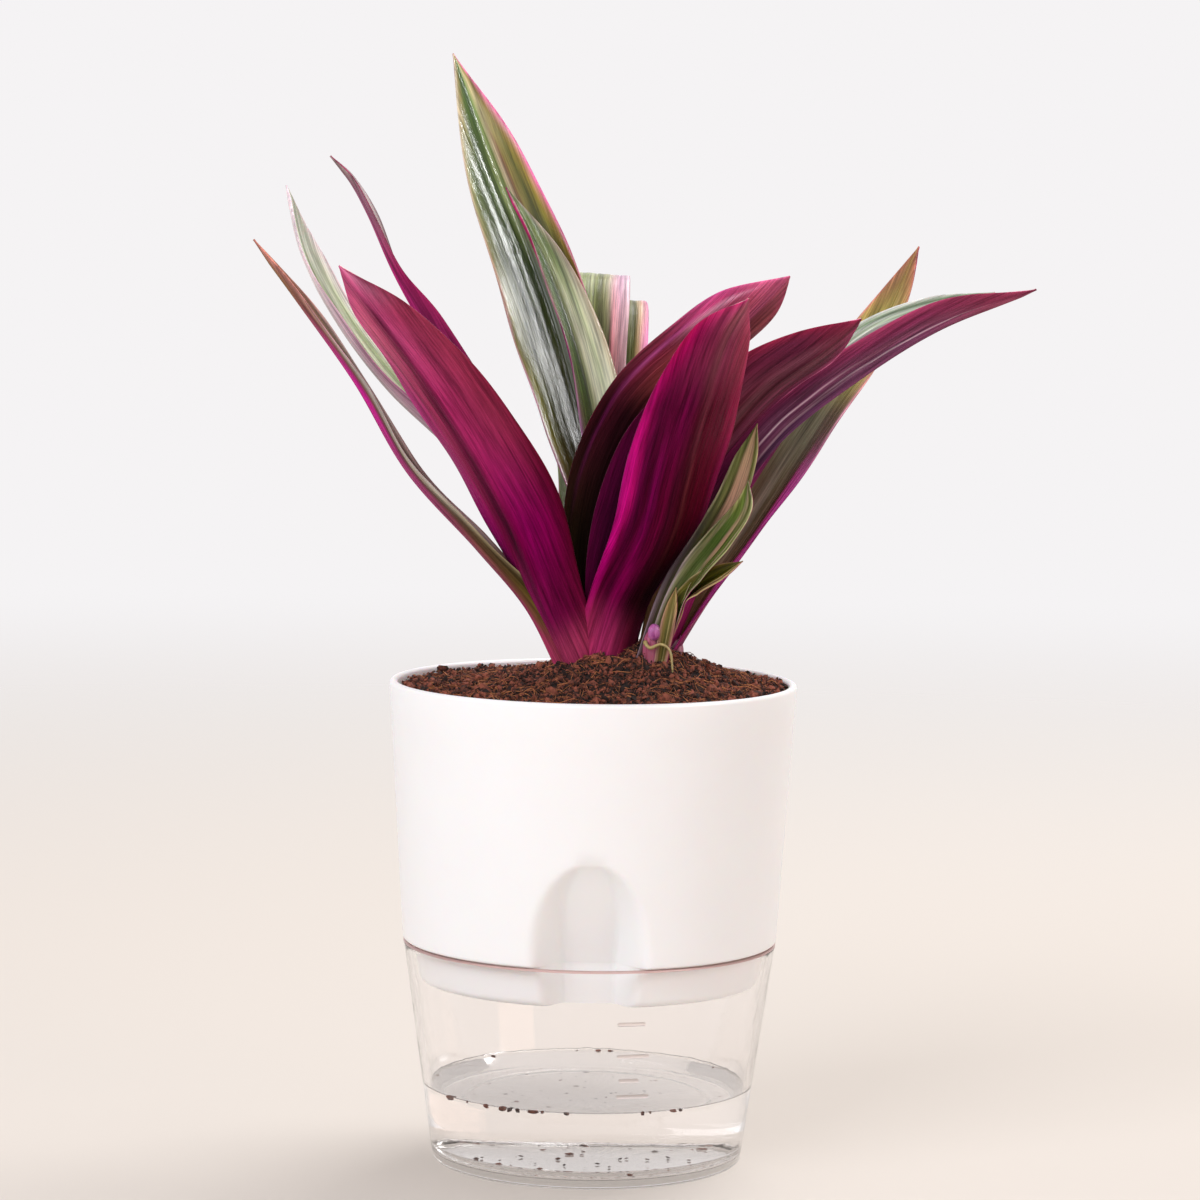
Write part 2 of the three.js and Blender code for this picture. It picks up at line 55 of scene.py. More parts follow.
NECK_BLEND = 1.2  # softness of the scoop's run out into the neck
SOIL_EDGE_Z, MOUND_X, MOUND_Y, MOUND_HEIGHT, MOUND_SPREAD = 116.8, 9.0, -1.0, 11.0, 17.0
LUMPS = (0.5, 0.35)  # heights of two waves over the soil's surface
AROUND = 288  # facets round the pot and the cup

# ---- plant, as in the CAD part; stems are (x, y, profile of radius and height) ----
STEMS = {
    "crown_a": (1, 0, ((4, 106), (6, 112), (6.5, 120), (6.5, 127), (4, 136))),
    "crown_b": (17, 3, ((3, 110), (4.5, 116), (5, 126), (3, 134))),
    "crown_c": (14.5, -10.5, ((1.5, 118), (2.4, 122), (2.7, 130), (1.5, 133))),
}
BUD = (14.6, -14.5, 132.4, 1.8)  # x, y, z and radius
ROOT_R = 0.55
ROOT = ((14.5, -10.5, 129), (12.4, -13.2, 129.8), (13.6, -15, 128.6), (16.2, -15.8, 129.6),
        (18.2, -16.2, 128.4), (19.2, -16.6, 122.8))
MIDRIB_SOFTNESS = 0.3

# Each leaf: the fold of its halves at base and tip in degrees, then rows from base to tip of
# x, y, z, blade width and the compass angle that the upper face looks to.
LEAVES = {
    "leaf_front": ((45, 15), (
        (3.5, -7.5, 121, 22, 98), (8.5, -12, 138, 21.5, 100), (16, -21, 154.5, 26.5, 100),
        (20.5, -33, 174, 27, 100), (25, -43, 190.5, 23.5, 102), (29.5, -51, 205.5, 15, 105),
        (34.5, -56, 214.5, 0, 105))),
    "leaf_left_broad": ((45, 12), (
        (-4, -6.5, 121, 17, 75), (-12, -10, 139, 20, 80), (-20, -18, 159, 26, 80),
        (-31.5, -27, 179.5, 25, 78), (-41.5, -35, 195, 22, 75), (-52, -43, 209, 14.5, 75),
        (-60.5, -50, 220.5, 0, 75))),
    "leaf_tall": ((45, 18), (
        (0, 3, 126, 13, -60), (2, 9, 157, 21, -85), (-3.5, 15, 180, 24, -100),
        (-10.5, 21, 204, 24.5, -112), (-19, 27, 226.5, 21, -116), (-28, 31, 248, 15, -114),
        (-37.5, 34, 272, 0, -100))),
    "leaf_right_dark": ((45, 15), (
        (3, -1, 128, 12, 155), (1, -2, 148, 18, 145), (4, -3, 168, 22, 130),
        (13, -6, 186.5, 23.5, 118), (26, -10, 199, 24, 110), (36.5, -14, 209.5, 19.5, 104),
        (45.5, -18, 219, 0, 100))),
    "leaf_right_low": ((45, 12), (
        (6, -3, 127, 12, 130), (11, -8, 145, 18, 120), (19, -13, 162, 22, 112),
        (29, -18, 178.5, 23.5, 108), (40.5, -23, 192, 22.5, 106), (52, -28, 201, 16, 105),
        (62, -32, 209.5, 0, 105))),
    "leaf_tall_inner": ((45, 30), (
        (2, 2, 128, 12, -60), (1, 5, 160, 17, -60), (-1, 8, 180, 17, -60),
        (-6.5, 12, 202, 15.5, -55), (-14.5, 17, 222, 10.5, -50), (-23.5, 21, 239, 0, -45))),
    "leaf_inner_dark": ((45, 15), (
        (4, -4, 126, 12, 130), (6, -8, 145, 17, 125), (10, -12, 162, 20, 122),
        (15, -17, 178, 18, 120), (21, -21, 190, 12, 118), (26, -24, 199, 0, 118))),
    "leaf_back_arched": ((35, -12), (
        (1, 4, 128, 12, -90), (-1, 10, 157, 16, -90), (-2, 18, 180, 18, -90),
        (-1.5, 28, 203, 18, -90), (-1, 42, 216, 17.5, -90), (0, 58, 215, 14, -90),
        (1, 74, 203, 0, -90))),
    "leaf_back_outer": ((35, -12), (
        (4, 6, 128, 10, -90), (4, 15, 157, 13, -92), (5, 25, 181, 14, -94),
        (5.5, 37, 200, 14, -95), (6, 52, 210, 12, -95), (6.5, 68, 205, 0, -95))),
    "leaf_left_pale": ((45, 20), (
        (-4, 1, 126, 10, -20), (-17, 6, 150, 13, -20), (-34, 13, 172.5, 14.5, -20),
        (-52, 20, 189, 14.5, -20), (-65, 27, 205, 14, -20), (-74, 32, 221, 11.5, -20),
        (-79, 36, 238.5, 0, -20))),
    "leaf_left_thin": ((45, 25), (
        (-4, 3, 126, 9, 0), (-15, 7, 160, 12, 20), (-31, 10, 186, 12, 40),
        (-43, 12, 205, 10, 50), (-50.5, 14, 218, 5, 20), (-57, 16, 232, 5, -10),
        (-62, 18, 240.5, 3.5, -10), (-67, 19, 246, 0, -10))),
    "leaf_left_low": ((40, 30), (
        (-7.5, -3, 121, 13, 35), (-16, -4, 137, 12.5, 15), (-28.5, -6, 151.5, 10.5, 0),
        (-45.5, -7, 170, 8.5, -5), (-58.5, -7, 191.5, 7, -5), (-72, -6, 210, 6.5, -10),
        (-84, -4, 225.5, 0, -10))),
    "leaf_back_low": ((45, 15), (
        (-1, 5, 127, 12, -80), (-3, 14, 149, 15, -85), (-3.5, 27, 168, 15, -90),
        (-6, 41, 184, 12, -90), (-6, 54, 193, 0, -90))),
    "leaf_side_long": ((50, 30), (
        (15.5, 1, 121, 13, 170), (22, -2, 142, 17.5, 165), (31.5, -5, 161, 20, 160),
        (44, -8, 179, 21, 155), (62, -10, 194, 19, 150), (82, -11, 207, 15, 145),
        (105.5, -9, 216.5, 0, 140))),
    "leaf_side_back": ((45, 15), (
        (16, 4, 120, 16, -125), (26.5, 9, 138, 19, -124), (36, 16, 152, 21.5, -121),
        (47, 23, 169, 21.5, -118), (58.5, 32, 186, 18.5, -116), (72.5, 41, 207, 12.5, -115),
        (81, 48, 225.5, 0, -115))),
    "leaf_side_pale": ((45, 20), (
        (17, 2, 122, 12, -150), (28, 1, 150, 14, -150), (39, 0, 170, 15, -145),
        (52.5, -1, 190, 14, -140), (66.5, -2, 203.5, 12, -135), (82, -3, 210.5, 9, -130),
        (96, -4, 215.5, 0, -130))),
    "leaf_small_tall": ((45, 20), (
        (12.5, -9, 121, 9, -80), (20.5, -11, 142, 9.5, -92), (27, -13.5, 153, 9.5, -100),
        (33, -15, 164, 9, -100), (36.5, -16, 175, 6.5, -100), (38.5, -16, 183.5, 0, -100))),
    "leaf_small_striped": ((45, 20), (
        (14.5, -10, 123, 7, -85), (20.5, -13, 139, 8, -95), (25.5, -17, 147.5, 10, -100),
        (31, -20, 155, 9.5, -105), (35.5, -21, 162.5, 6.5, -110), (36.5, -20, 170, 0, -110))),
    "leaf_small_side": ((45, 20), (
        (15.5, -11, 125, 5, -85), (21, -14, 139, 5.5, -80), (25, -17, 143.5, 6.5, -70),
        (30, -19, 147, 5.5, -70), (35.5, -20, 150.5, 0, -70))),
    "leaf_small_tip": ((45, 20), (
        (16.5, -12.5, 125, 4.5, -90), (17.8, -14.5, 133.5, 4.5, -90),
        (18.8, -15.5, 139, 3, -90), (19.6, -16, 143.5, 0, -90))),
}

# ---- colours of the leaves ----
# A face has rows of bands: at a share of the leaf's length, colours at shares of its width, from
# its left to its right margin as that face is seen with the tip up. gloss scales a leaf's shine and
# relief is the height of its streaks. What a leaf doesn't give is a plain green or purple face.
GREEN_FACE = (
    (0.1, "0 b06880, .12 8a7a40, .5 5a5428, .9 8a7a40, 1 b06880"),
    (0.45, "0 d890a8, .05 c8c090, .12 55682e, .3 47592a, .36 b9b98a, .42 4c6030, .62 50662f,"
           ".68 a8ac78, .74 4a5c2a, .9 5c6a34, .96 c8b890, 1 d880a4"),
    (0.9, "0 e0a0b0, .08 c8c498, .25 6a7c40, .45 5c7038, .55 a8b080, .7 66783c, .92 c4b88c,"
          "1 dc88a8"),
)
PURPLE_FACE = (
    (0.1, "0 a83a74, .4 8c2c60, .7 84285a, 1 a03470"),
    (0.4, "0 a82880, .1 7c1c5c, .35 5c1040, .5 7a2050, .65 5a1040, .9 74205a, 1 a02c7c"),
    (0.8, "0 b03a78, .15 8a2c5c, .5 6c2048, .8 80284e, 1 a83468"),
)
LOOKS = {
    "leaf_front": {"under": (
        (0.04, "0 c0446c, .3 b43c70, .6 983058, 1 6a2040"),
        (0.2, "0 b40c74, .05 b80878, .1 640038, .2 4c042c, .28 7c044c, .36 600438, .44 38041c,"
              ".58 301018, .66 260412, .88 2c061e, .94 58104c, 1 7c1878"),
        (0.42, "0 b8147c, .05 bc147c, .09 a41064, .14 640840, .22 4c0428, .28 780850, .34 500428,"
               ".4 680838, .46 54102c, .54 500c24, .57 682c34, .61 500c20, .84 680c30, .92 7c1448,"
               "1 982464"),
        (0.62, "0 b81470, .04 bc1478, .09 8c0c54, .16 5c0c38, .3 640c3a, .38 740c48, .5 58142c,"
               ".56 703040, .6 60102c, .82 701838, .93 8c1c48, 1 b43060"),
        (0.8, "0 bc1c60, .08 b01464, .2 8c2454, .4 843450, .5 7c4450, .58 843854, .8 903c54,"
              ".94 a84860, 1 c05074"),
        (0.96, "0 c03c70, .3 ac4c70, .45 9c5864, .6 a46070, .8 b05870, 1 b85474"))},
    "leaf_left_broad": {"under": (
        (0.05, "0 b04470, .4 b84870, .7 b0446c, 1 9c3858"),
        (0.14, "0 a02878, .4 8c1c5c, .7 7c104c, 1 681034"),
        (0.3, "0 c81c94, .06 a81c78, .3 84104c, .42 580434, .5 780448, .6 940664, .8 880658,"
              ".93 800c48, 1 740c38"),
        (0.55, "0 cc5098, .05 b04080, .3 a43c64, .42 782048, .48 8c2c58, .55 ac346c, .75 a03860,"
              ".9 9c3858, 1 802844"),
        (0.8, "0 d46898, .2 cc6888, .42 a84c6c, .5 7c2c50, .56 bc5080, .8 ac4468, 1 943c54"),
        (0.97, "0 c05884, .5 b85880, .8 cc80a0, 1 9c4464"))},
    "leaf_tall": {"gloss": 1.25, "relief": 0.18, "upper": (
        (0.2, "0 c07898, .05 745c24, .25 4c3a14, .5 3c2c10, .8 3a2a14, 1 5a3828"),
        (0.4, "0 c888a8, .03 948c38, .1 848424, .18 545418, .4 3e3e16, .55 3c421c, .75 3e3e1c,"
              ".9 4c4430, 1 a06080"),
        (0.6, "0 c09888, .04 84844c, .14 545c30, .35 38481c, .5 384818, .56 545c28, .66 6c7044,"
              ".8 60683e, .9 7c7830, .96 98843c, 1 e070a4"),
        (0.8, "0 dcc0b0, .03 b0ac80, .09 6c7c44, .26 3c501a, .4 546824, .48 a8b478, .53 6c7c38,"
              ".6 c8b490, .66 946c50, .7 9c8c4c, .8 6c6c30, .9 a4903c, .96 c89088, 1 f070b0"),
        (0.93, "0 e8d8bc, .12 b0a470, .25 647c38, .4 3c5c1c, .52 84985c, .7 c8bc90, .84 98864c,"
               "1 f080b0"))},
    "leaf_tall_inner": {"gloss": 0.8, "relief": 0.2, "upper": (
        # The near-white bands right of the middle in the rows at 0.3 and 0.55 are partly the leaf's
        # cream stripes and partly a painted highlight.
        (0.3, "0 a868a0, .08 7c4858, .16 5c4c2a, .3 545024, .48 4c4c24, .58 bcbc94, .8 f0ecdc,"
              "1 dcccb8"),
        (0.55, "0 a88894, .04 7c6054, .1 485428, .3 5c7038, .4 485c2c, .5 3c441f, .56 a0a478,"
               ".66 e4e0c8, .8 b8bc9c, .9 dcd8c0, 1 ccbca0"),
        (0.85, "0 a88484, .05 746050, .14 48602c, .36 587438, .46 445428, .6 88945c, .8 6c7c4c,"
               "1 a8988c"))},
    "leaf_back_arched": {"gloss": 0.6, "upper": (
        (0.4, "0 a8b484, .1 7c8c50, .2 a4b080, .28 6c7c3c, .36 98a470, .44 5c6c2c, .52 8c9854,"
              ".58 4e5428, .68 7c8450, .74 5c6030, .79 f0a0a8, .84 ffc4c4, .9 dcb0b4, 1 e4bcc0"),
        (0.75, "0 d4dcc0, .12 a4b080, .24 c4c89c, .34 8c9860, .46 bcc094, .56 848c54, .68 bcb890,"
               ".76 e8ccc8, .86 dcb0cc, 1 ecd0dc"))},
    "leaf_back_outer": {"gloss": 0.6, "upper": (
        (0.4, "0 5c5c2c, .16 7c8050, .26 545c24, .36 949468, .46 545c20, .58 6c7434, .66 4c5418,"
              ".76 7c8038, .83 d0ac80, .9 e090b0, 1 e87cc0"),
        (0.8, "0 949c6c, .3 6c7438, .5 9ca06c, .74 8c9060, .84 d8bc9c, 1 e894bc"))},
    "leaf_left_pale": {"gloss": 0.12, "under": (
        (0.25, "0 b8708c, .2 a898a0, .5 8c5c7c, 1 7c4068"),
        (0.5, "0 d8c8cc, .3 c8c4b8, .6 b8a8ac, 1 a87890"),
        (0.85, "0 ece0e4, .4 e0dcd8, 1 d8c8cc")), "upper": (
        (0.3, "0 b06080, .08 d0c4bc, .18 a4b08c, .26 c8ceb4, .34 8c9868, .44 b4bc98, .52 7c8c58,"
              ".62 c4c8b0, .76 9ca880, .92 d4ccc0, 1 b87090"),
        (0.6, "0 d8a0b0, .08 e8e4dc, .2 b4bc9c, .3 dce0cc, .42 94a470, .5 c4ccac, .58 8c9c60,"
              ".68 d0d4bc, .78 a8b48c, .9 e4e4d8, 1 dcb8c0"),
        (0.9, "0 e8d4dc, .1 ece8e4, .35 dce0d0, .5 a8b494, .6 dce0d4, .8 c8ccb8, 1 ecdce0"))},
    "leaf_left_thin": {"gloss": 0.12, "under": (
        (0.3, "0 98305c, .5 8c2c64, 1 7c2450"),
        (0.55, "0 c83a8c, .3 a8306c, .5 cc3c8c, .7 8c2c5c, 1 a83068"),
        (0.75, "0 a83c74, .4 b87898, .6 9c5c7c, 1 a87c8c"),
        (0.92, "0 a86c84, .5 8c6c78, 1 a08c88")), "upper": (
        (0.4, "0 7a3050, .2 5a2c34, .5 6a5048, .8 8a6a60, 1 904068"),
        (0.75, "0 a83868, .3 b0a8a8, .7 b8b4b0, 1 a08890"))},
    "leaf_left_low": {"gloss": 0.12, "under": (
        (0.06, "0 c04c80, .45 b84470, .7 a84c60, 1 9c5c50"),
        (0.14, "0 b84484, .5 a83c70, .62 8c5c48, .75 6c5c2c, .9 5c4c24, 1 7c6c48"),
        (0.32, "0 b87094, .45 985878, .6 8c5058, .74 644834, .9 5c4c34, 1 a89878"),
        (0.5, "0 c05890, .5 b04c84, .72 94446c, .84 5c4440, .92 b0a494, 1 d0c8c0"),
        (0.64, "0 d83898, .5 d0309c, .74 b82c88, .86 6c4c44, 1 b8b0a8"),
        (0.9, "0 a87070, .4 7c5c40, .6 846444, 1 a87870")), "upper": (
        (0.15, "0 9c5c58, .2 745c34, .4 5c4c24, .6 7c6838, .8 54401f, 1 7c5848"),
        (0.4, "0 8c5058, .2 6c5438, .4 4c3824, .6 6c5838, .8 44302a, 1 c8a8a8"),
        (0.7, "0 d098b0, .2 a8948c, .4 7c6850, .6 b0a088, .8 6c5c48, 1 c8b0b0"),
        (0.93, "0 d89080, .4 7c6434, .6 8c6c40, 1 c08478"))},
    "leaf_right_dark": {"under": (
        # Painted shade: the near-black bands of the rows at 0.2 and 0.45 stand for the shade this
        # leaf's lower part lies in behind the leaves in front.
        (0.2, "0 3c2c1c, .15 2c2014, .4 180c0c, 1 180a10"),
        (0.45, "0 441824, .06 3c141c, .09 702454, .12 4c1828, .3 34141c, .5 200c12, .8 200c10,"
               "1 14080c"),
        (0.6, "0 803c4c, .08 782c44, .11 c05c98, .14 843048, .3 a04c50, .5 7c3438, .7 44141c,"
              "1 34101c"),
        # Painted highlight: the pale pink stop at .15 in the row at 0.82 stands for a sheen line
        # along the leaf.
        (0.82, "0 d8609c, .1 d85c94, .15 f4accc, .2 b45878, .35 b05468, .5 c8688c, .58 b05c70,"
              ".8 b86474, 1 bc607c"),
        (0.95, "0 e878a4, .2 d0688c, .5 c86888, .7 c46c84, 1 cc6088"))},
    "leaf_inner_dark": {"under": (
        (0.3, "0 5c0a3c, .2 40062c, .4 2c0418, .6 380a24, 1 200412"),
        (0.8, "0 640c40, .3 48082c, .5 340820, .7 440a2a, 1 30061c"))},
    "leaf_right_low": {"under": (
        (0.3, "0 581028, .2 641c34, .4 501428, .55 6c2840, .7 581c30, .9 743054, 1 d070b0"),
        (0.55, "0 a43454, .08 7c2844, .2 642038, .32 844458, .38 602034, .46 784c54, .52 541c2c,"
              ".6 6c3048, .7 84445c, .78 682840, .9 80305c, .95 c46890, 1 e890bc"),
        (0.8, "0 942c4c, .15 74304c, .3 642840, .42 7c4858, .5 582838, .6 744450, .8 6c3448,"
              ".93 843c5c, 1 d87ca4"),
        (0.96, "0 902c4c, .5 743848, 1 a0486c"))},
    "leaf_side_long": {"under": (
        # Its greyish mauve and the pale lines at .27, .38 and .35 are partly the leaf's own light
        # veins and partly a painted sheen.
        (0.1, "0 7c6448, .2 604830, .4 74583c, .6 543f28, .8 6c5038, 1 604430"),
        (0.38, "0 84205c, .2 541c3c, .4 441434, .6 5c2448, .8 6c2c50, .95 883470, 1 dc84cc"),
        (0.5, "0 b8547c, .06 84345c, .14 643050, .2 7c4c68, .25 643454, .27 b8a0ac, .29 6c3c5c,"
              ".36 7c4c68, .38 b090a0, .41 583054, .5 74486c, .6 502c4c, .85 88507c, 1 bc70a4"),
        (0.78, "0 b04c74, .14 8c3c60, .22 744058, .28 8c546c, .33 744460, .35 ccb0bc, .37 7c4868,"
               ".55 84506c, .8 744058, 1 a8648c"),
        (0.95, "0 9c4460, .3 843c54, .5 a05c70, .7 7c3c50, 1 8c4c5c"))},
    "leaf_side_back": {"gloss": 0.3, "upper": (
        (0.15, "0 846044, .2 9c7c54, .35 806444, .5 a48868, .62 70543c, .7 845040, .74 9c4068,"
               ".79 d848ac, 1 e05cc0"),
        (0.4, "0 7c6448, .08 705838, .2 8c7860, .3 644c38, .42 948474, .5 605038, .6 84705c,"
              ".7 4c3424, .75 6c2c3c, .79 d444a4, 1 e05cc0"),
        (0.62, "0 6c6450, .15 545038, .3 746e58, .42 565040, .55 807862, .66 5a4a40, .8 645046,"
               ".93 745c50, .97 a07880, 1 d098a8"),
        (0.78, "0 dca090, .05 c0ac68, .25 8c8c48, .4 b4ac64, .5 8c8848, .6 c8b87c, .7 94904c,"
               ".82 b4a864, .95 c4a870, 1 e4a090"),
        (0.97, "0 b87868, .5 a88c58, 1 b07060"))},
    "leaf_side_pale": {"gloss": 0.5, "upper": (
        (0.5, "0 f0f0ec, .07 c8d0c0, .12 8ca080, .17 e0e4dc, .22 a4b094, .28 dcdcd4, .31 3c1820,"
              ".36 4c1828, .39 c8c4bc, .5 a4a898, .64 c0c0b8, 1 b8b4ac"),
        (0.9, "0 f0f0ec, .08 b4c0a8, .14 748868, .2 d4dccc, .26 8ca080, .32 e0e0d8, .4 9ca890,"
              ".6 b8c0b0, 1 dcd4d0"))},
    "leaf_small_tall": {"gloss": 0.35, "upper": (
        (0.3, "0 948088, .08 6c5c5c, .2 5c5c30, .32 7c7450, .42 544430, .55 8c7c5c, .7 5a3038,"
              ".85 7c7450, 1 949468"),
        (0.6, "0 c8bc98, .06 5c6430, .16 7c7c4c, .24 4c4c24, .32 b8947c, .45 c4a088, .6 bc9c84,"
              ".72 c8a48c, .8 5c6034, .9 8a8a5c, .96 a8ac80, 1 d8ccb0"),
        (0.92, "0 7c7c50, .2 545c28, .35 b89c7c, .65 c4a484, .8 6c7038, 1 b0a878"))},
    "leaf_small_striped": {"gloss": 0.35, "upper": (
        (0.3, "0 a89498, .1 7c7c58, .25 54602c, .4 747c4c, .52 4c5828, .7 6a6c3c, .85 4c5428,"
              "1 a8a084"),
        (0.6, "0 c8bc98, .05 4c5820, .14 8c8460, .2 445818, .3 506420, .38 405414, .44 b4907c,"
              ".5 a88c6c, .55 4c5c20, .68 6c7c40, .76 4c5c20, .84 b8a888, .9 5c6c30, 1 c0c08c"),
        (0.9, "0 a8a070, .2 5c6c28, .4 6a7a38, .6 b8a888, .8 5c6c30, 1 b4b48c"))},
    "leaf_small_side": {"gloss": 0.35, "upper": (
        (0.5, "0 c8b488, .08 7c7030, .2 4c4c10, .35 6c6c24, .5 44480c, .6 5c5c18, .7 6c6828,"
              ".78 dccc90, .86 6c5038, 1 b8a878"),)},
    "leaf_small_tip": {"gloss": 0.4, "upper": (
        (0.3, "0 c09488, .2 9c8c54, .4 7c7c44, .6 a89868, .8 6c6034, 1 c09080"),
        (0.8, "0 b89868, .3 8c8048, .5 a09058, .7 7c7040, 1 c8a878"))},
}


# ---- node helpers ----
def linear(code):
    """A colour given as six hexadecimal sRGB digits, in linear light."""
    values = [int(code[i:i + 2], 16) / 255 for i in (0, 2, 4)]
    return [v / 12.92 if v <= 0.04045 else ((v + 0.055) / 1.055) ** 2.4 for v in values] + [1.0]


class Finish:
    """A material with one Principled shader, and short calls to build what feeds it."""

    def __init__(self, name, roughness=0.5, **sockets):
        self.material = bpy.data.materials.new(name)
        self.material.use_nodes = True
        self.tree = self.material.node_tree
        self.tree.nodes.clear()
        self.shader = self.add("ShaderNodeBsdfPrincipled")
        self.output = self.add("ShaderNodeOutputMaterial")
        self.tree.links.new(self.shader.outputs[0], self.output.inputs["Surface"])
        self.shader.inputs["Roughness"].default_value = roughness
        for socket, value in sockets.items():
            self.shader.inputs[socket.replace("_", " ")].default_value = value

    def add(self, kind, **settings):
        node = self.tree.nodes.new(kind)
        for key, value in settings.items():
            setattr(node, key, value)
        return node

    def put(self, socket, value):
        """Links value to an input if it is an output socket, else sets it."""
        if isinstance(value, bpy.types.NodeSocket):
            self.tree.links.new(value, socket)
        else:
            socket.default_value = value

    def set(self, name, value):
        self.put(self.shader.inputs[name], value)

    def attribute(self, name):
        return self.add("ShaderNodeAttribute", attribute_name=name).outputs["Fac"]

    def math(self, operation, a, b):
        node = self.add("ShaderNodeMath", operation=operation)
        self.put(node.inputs[0], a)
        self.put(node.inputs[1], b)
        return node.outputs[0]

    def plus(self, a, b):
        return self.math("ADD", a, b)

    def times(self, a, b):
        return self.math("MULTIPLY", a, b)

    def span(self, value, low, high, to_low=0.0, to_high=1.0, smooth=True):
        """value taken from the range low..high to the range to_low..to_high, and held there."""
        node = self.add("ShaderNodeMapRange", interpolation_type="SMOOTHSTEP" if smooth else "LINEAR")
        for socket, number in zip(node.inputs[:5], (value, low, high, to_low, to_high)):
            self.put(socket, number)
        return node.outputs[0]

    def mix(self, factor, a, b, blend="MIX"):
        node = self.add("ShaderNodeMix", data_type="RGBA", blend_type=blend)
        self.put(node.inputs[0], factor)
        self.put(node.inputs[6], a)
        self.put(node.inputs[7], b)
        return node.outputs[2]

    def vector(self, x, y, z=0.0):
        node = self.add("ShaderNodeCombineXYZ")
        for socket, value in zip(node.inputs, (x, y, z)):
            self.put(socket, value)
        return node.outputs[0]

    def place(self):
        """The point in the object's own frame, in millimetres."""
        node = self.add("ShaderNodeVectorMath", operation="SCALE")
        self.tree.links.new(self.add("ShaderNodeTexCoord").outputs["Object"], node.inputs[0])
        node.inputs["Scale"].default_value = 1 / MM
        return node.outputs[0]

    def noise(self, at, scale, detail=3.0, roughness=0.55):
        node = self.add("ShaderNodeTexNoise")
        self.put(node.inputs["Vector"], at)
        node.inputs["Scale"].default_value = scale
        node.inputs["Detail"].default_value = detail
        node.inputs["Roughness"].default_value = roughness
        return node.outputs["Fac"]

    def streaks(self, span, run, across, along, seed=0.0, detail=4, roughness=0.6):
        """Noise drawn out along a leaf: its features to the millimetre across and along."""
        at = self.vector(self.times(span, across), self.times(run, along), float(seed))
        return self.noise(at, 1.0, detail, roughness)

    def cells(self, at, scale):
        node = self.add("ShaderNodeTexVoronoi")
        self.put(node.inputs["Vector"], at)
        node.inputs["Scale"].default_value = scale
        return node.outputs["Distance"]

    def bands(self, factor, stops):
        """A ramp from text such as "0 b06880, .5 5a5428, 1 b06880"."""
        node = self.add("ShaderNodeValToRGB")
        pairs = [item.split() for item in stops.split(",")]
        ramp = node.color_ramp
        while len(ramp.elements) < len(pairs):
            ramp.elements.new(1.0)
        for element, (place, code) in zip(ramp.elements, pairs):
            element.position = float(place)
            element.color = linear(code)
        self.put(node.inputs[0], factor)
        return node.outputs["Color"]

    def bump(self, height, distance, strength=1.0, normal=None):
        node = self.add("ShaderNodeBump")
        node.inputs["Strength"].default_value = strength
        node.inputs["Distance"].default_value = distance * MM
        self.put(node.inputs["Height"], height)
        if normal is not None:
            self.put(node.inputs["Normal"], normal)
        return node.outputs[0]


# ---- object and mesh helpers ----
def new_object(name, data):
    item = bpy.data.objects.new(name, data)
    bpy.context.scene.collection.objects.link(item)
    return item


def new_mesh(name, points, faces):
    mesh = bpy.data.meshes.new(name)
    mesh.from_pydata((np.asarray(points) * MM).tolist(), [], faces)
    return mesh


def add_piece(name, points, faces, material, replaces=(), attributes=None, recalc=True):
    """A smooth shaded piece of the object from points in millimetres, riding on the one body."""
    mesh = new_mesh(name, points, faces)
    for key, values in (attributes or {}).items():
        layer = mesh.attributes.new(key, "FLOAT", "POINT")
        layer.data.foreach_set("value", np.asarray(values, np.float32).ravel())
    if recalc:
        work = bmesh.new()
        work.from_mesh(mesh)
        bmesh.ops.recalc_face_normals(work, faces=work.faces)
        work.to_mesh(mesh)
        work.free()
    mesh.shade_smooth()
    piece = new_object(name, mesh)
    mesh.materials.append(material)
    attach(piece, "root")
    if replaces:
        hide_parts(*replaces)
    return piece


def ring_quads(rings, around):
    """Quads that join each ring of points to the next one."""
    i, k = np.meshgrid(np.arange(rings - 1), np.arange(around), indexing="ij")
    a, b = i * around + k, i * around + (k + 1) % around
    return np.stack([a, b, b + around, a + around], -1).reshape(-1, 4).tolist()


def closed(count, around, first=0):
    """Faces of a closed surface through rings of points, with a flat cap at each end. first is
    the number of its first point."""
    last = (count - 1) * around
    caps = [list(range(around))[::-1], list(range(last, last + around))]
    return [[first + v for v in face] for face in ring_quads(count, around) + caps]


def capped(rings):
    """Points and faces of a closed surface through rings of points."""
    rings = np.asarray(rings)
    return rings.reshape(-1, 3), closed(*rings.shape[:2])


def turned(profile, radius=lambda row, angle: np.full(angle.shape, row[0])):
    """Points and faces of a turned solid. profile runs from the axis to the axis; radius gives
    a row's radius at each angle from the front."""
    angle = np.linspace(-math.pi, math.pi, AROUND, endpoint=False)
    rings = []
    for row in profile[1:-1]:
        r = radius(row, angle)
        rings.append(np.stack([r * np.sin(angle), -r * np.cos(angle), np.full(AROUND, row[1])], -1))
    points = np.concatenate([np.concatenate(rings), [[0, 0, profile[0][1]], [0, 0, profile[-1][1]]]])
    faces = ring_quads(len(rings), AROUND)
    last = (len(rings) - 1) * AROUND
    first_pole, last_pole = len(points) - 2, len(points) - 1
    for k in range(AROUND):
        faces.append([first_pole, (k + 1) % AROUND, k])
        faces.append([last_pole, last + k, last + (k + 1) % AROUND])
    return points, faces


def arc(centre, radius, start, end, steps=5):
    """Rows of radius and height along an arc in the profile's plane; angles in degrees."""
    turn = np.radians(np.linspace(start, end, steps))
    return [(centre[0] + radius * math.cos(a), centre[1] + radius * math.sin(a)) for a in turn]


# ---- pot ----
def cup_outer(z):
    return CUP_BASE_R + (CUP_RIM_R - CUP_BASE_R) * z / CUP_RIM_Z


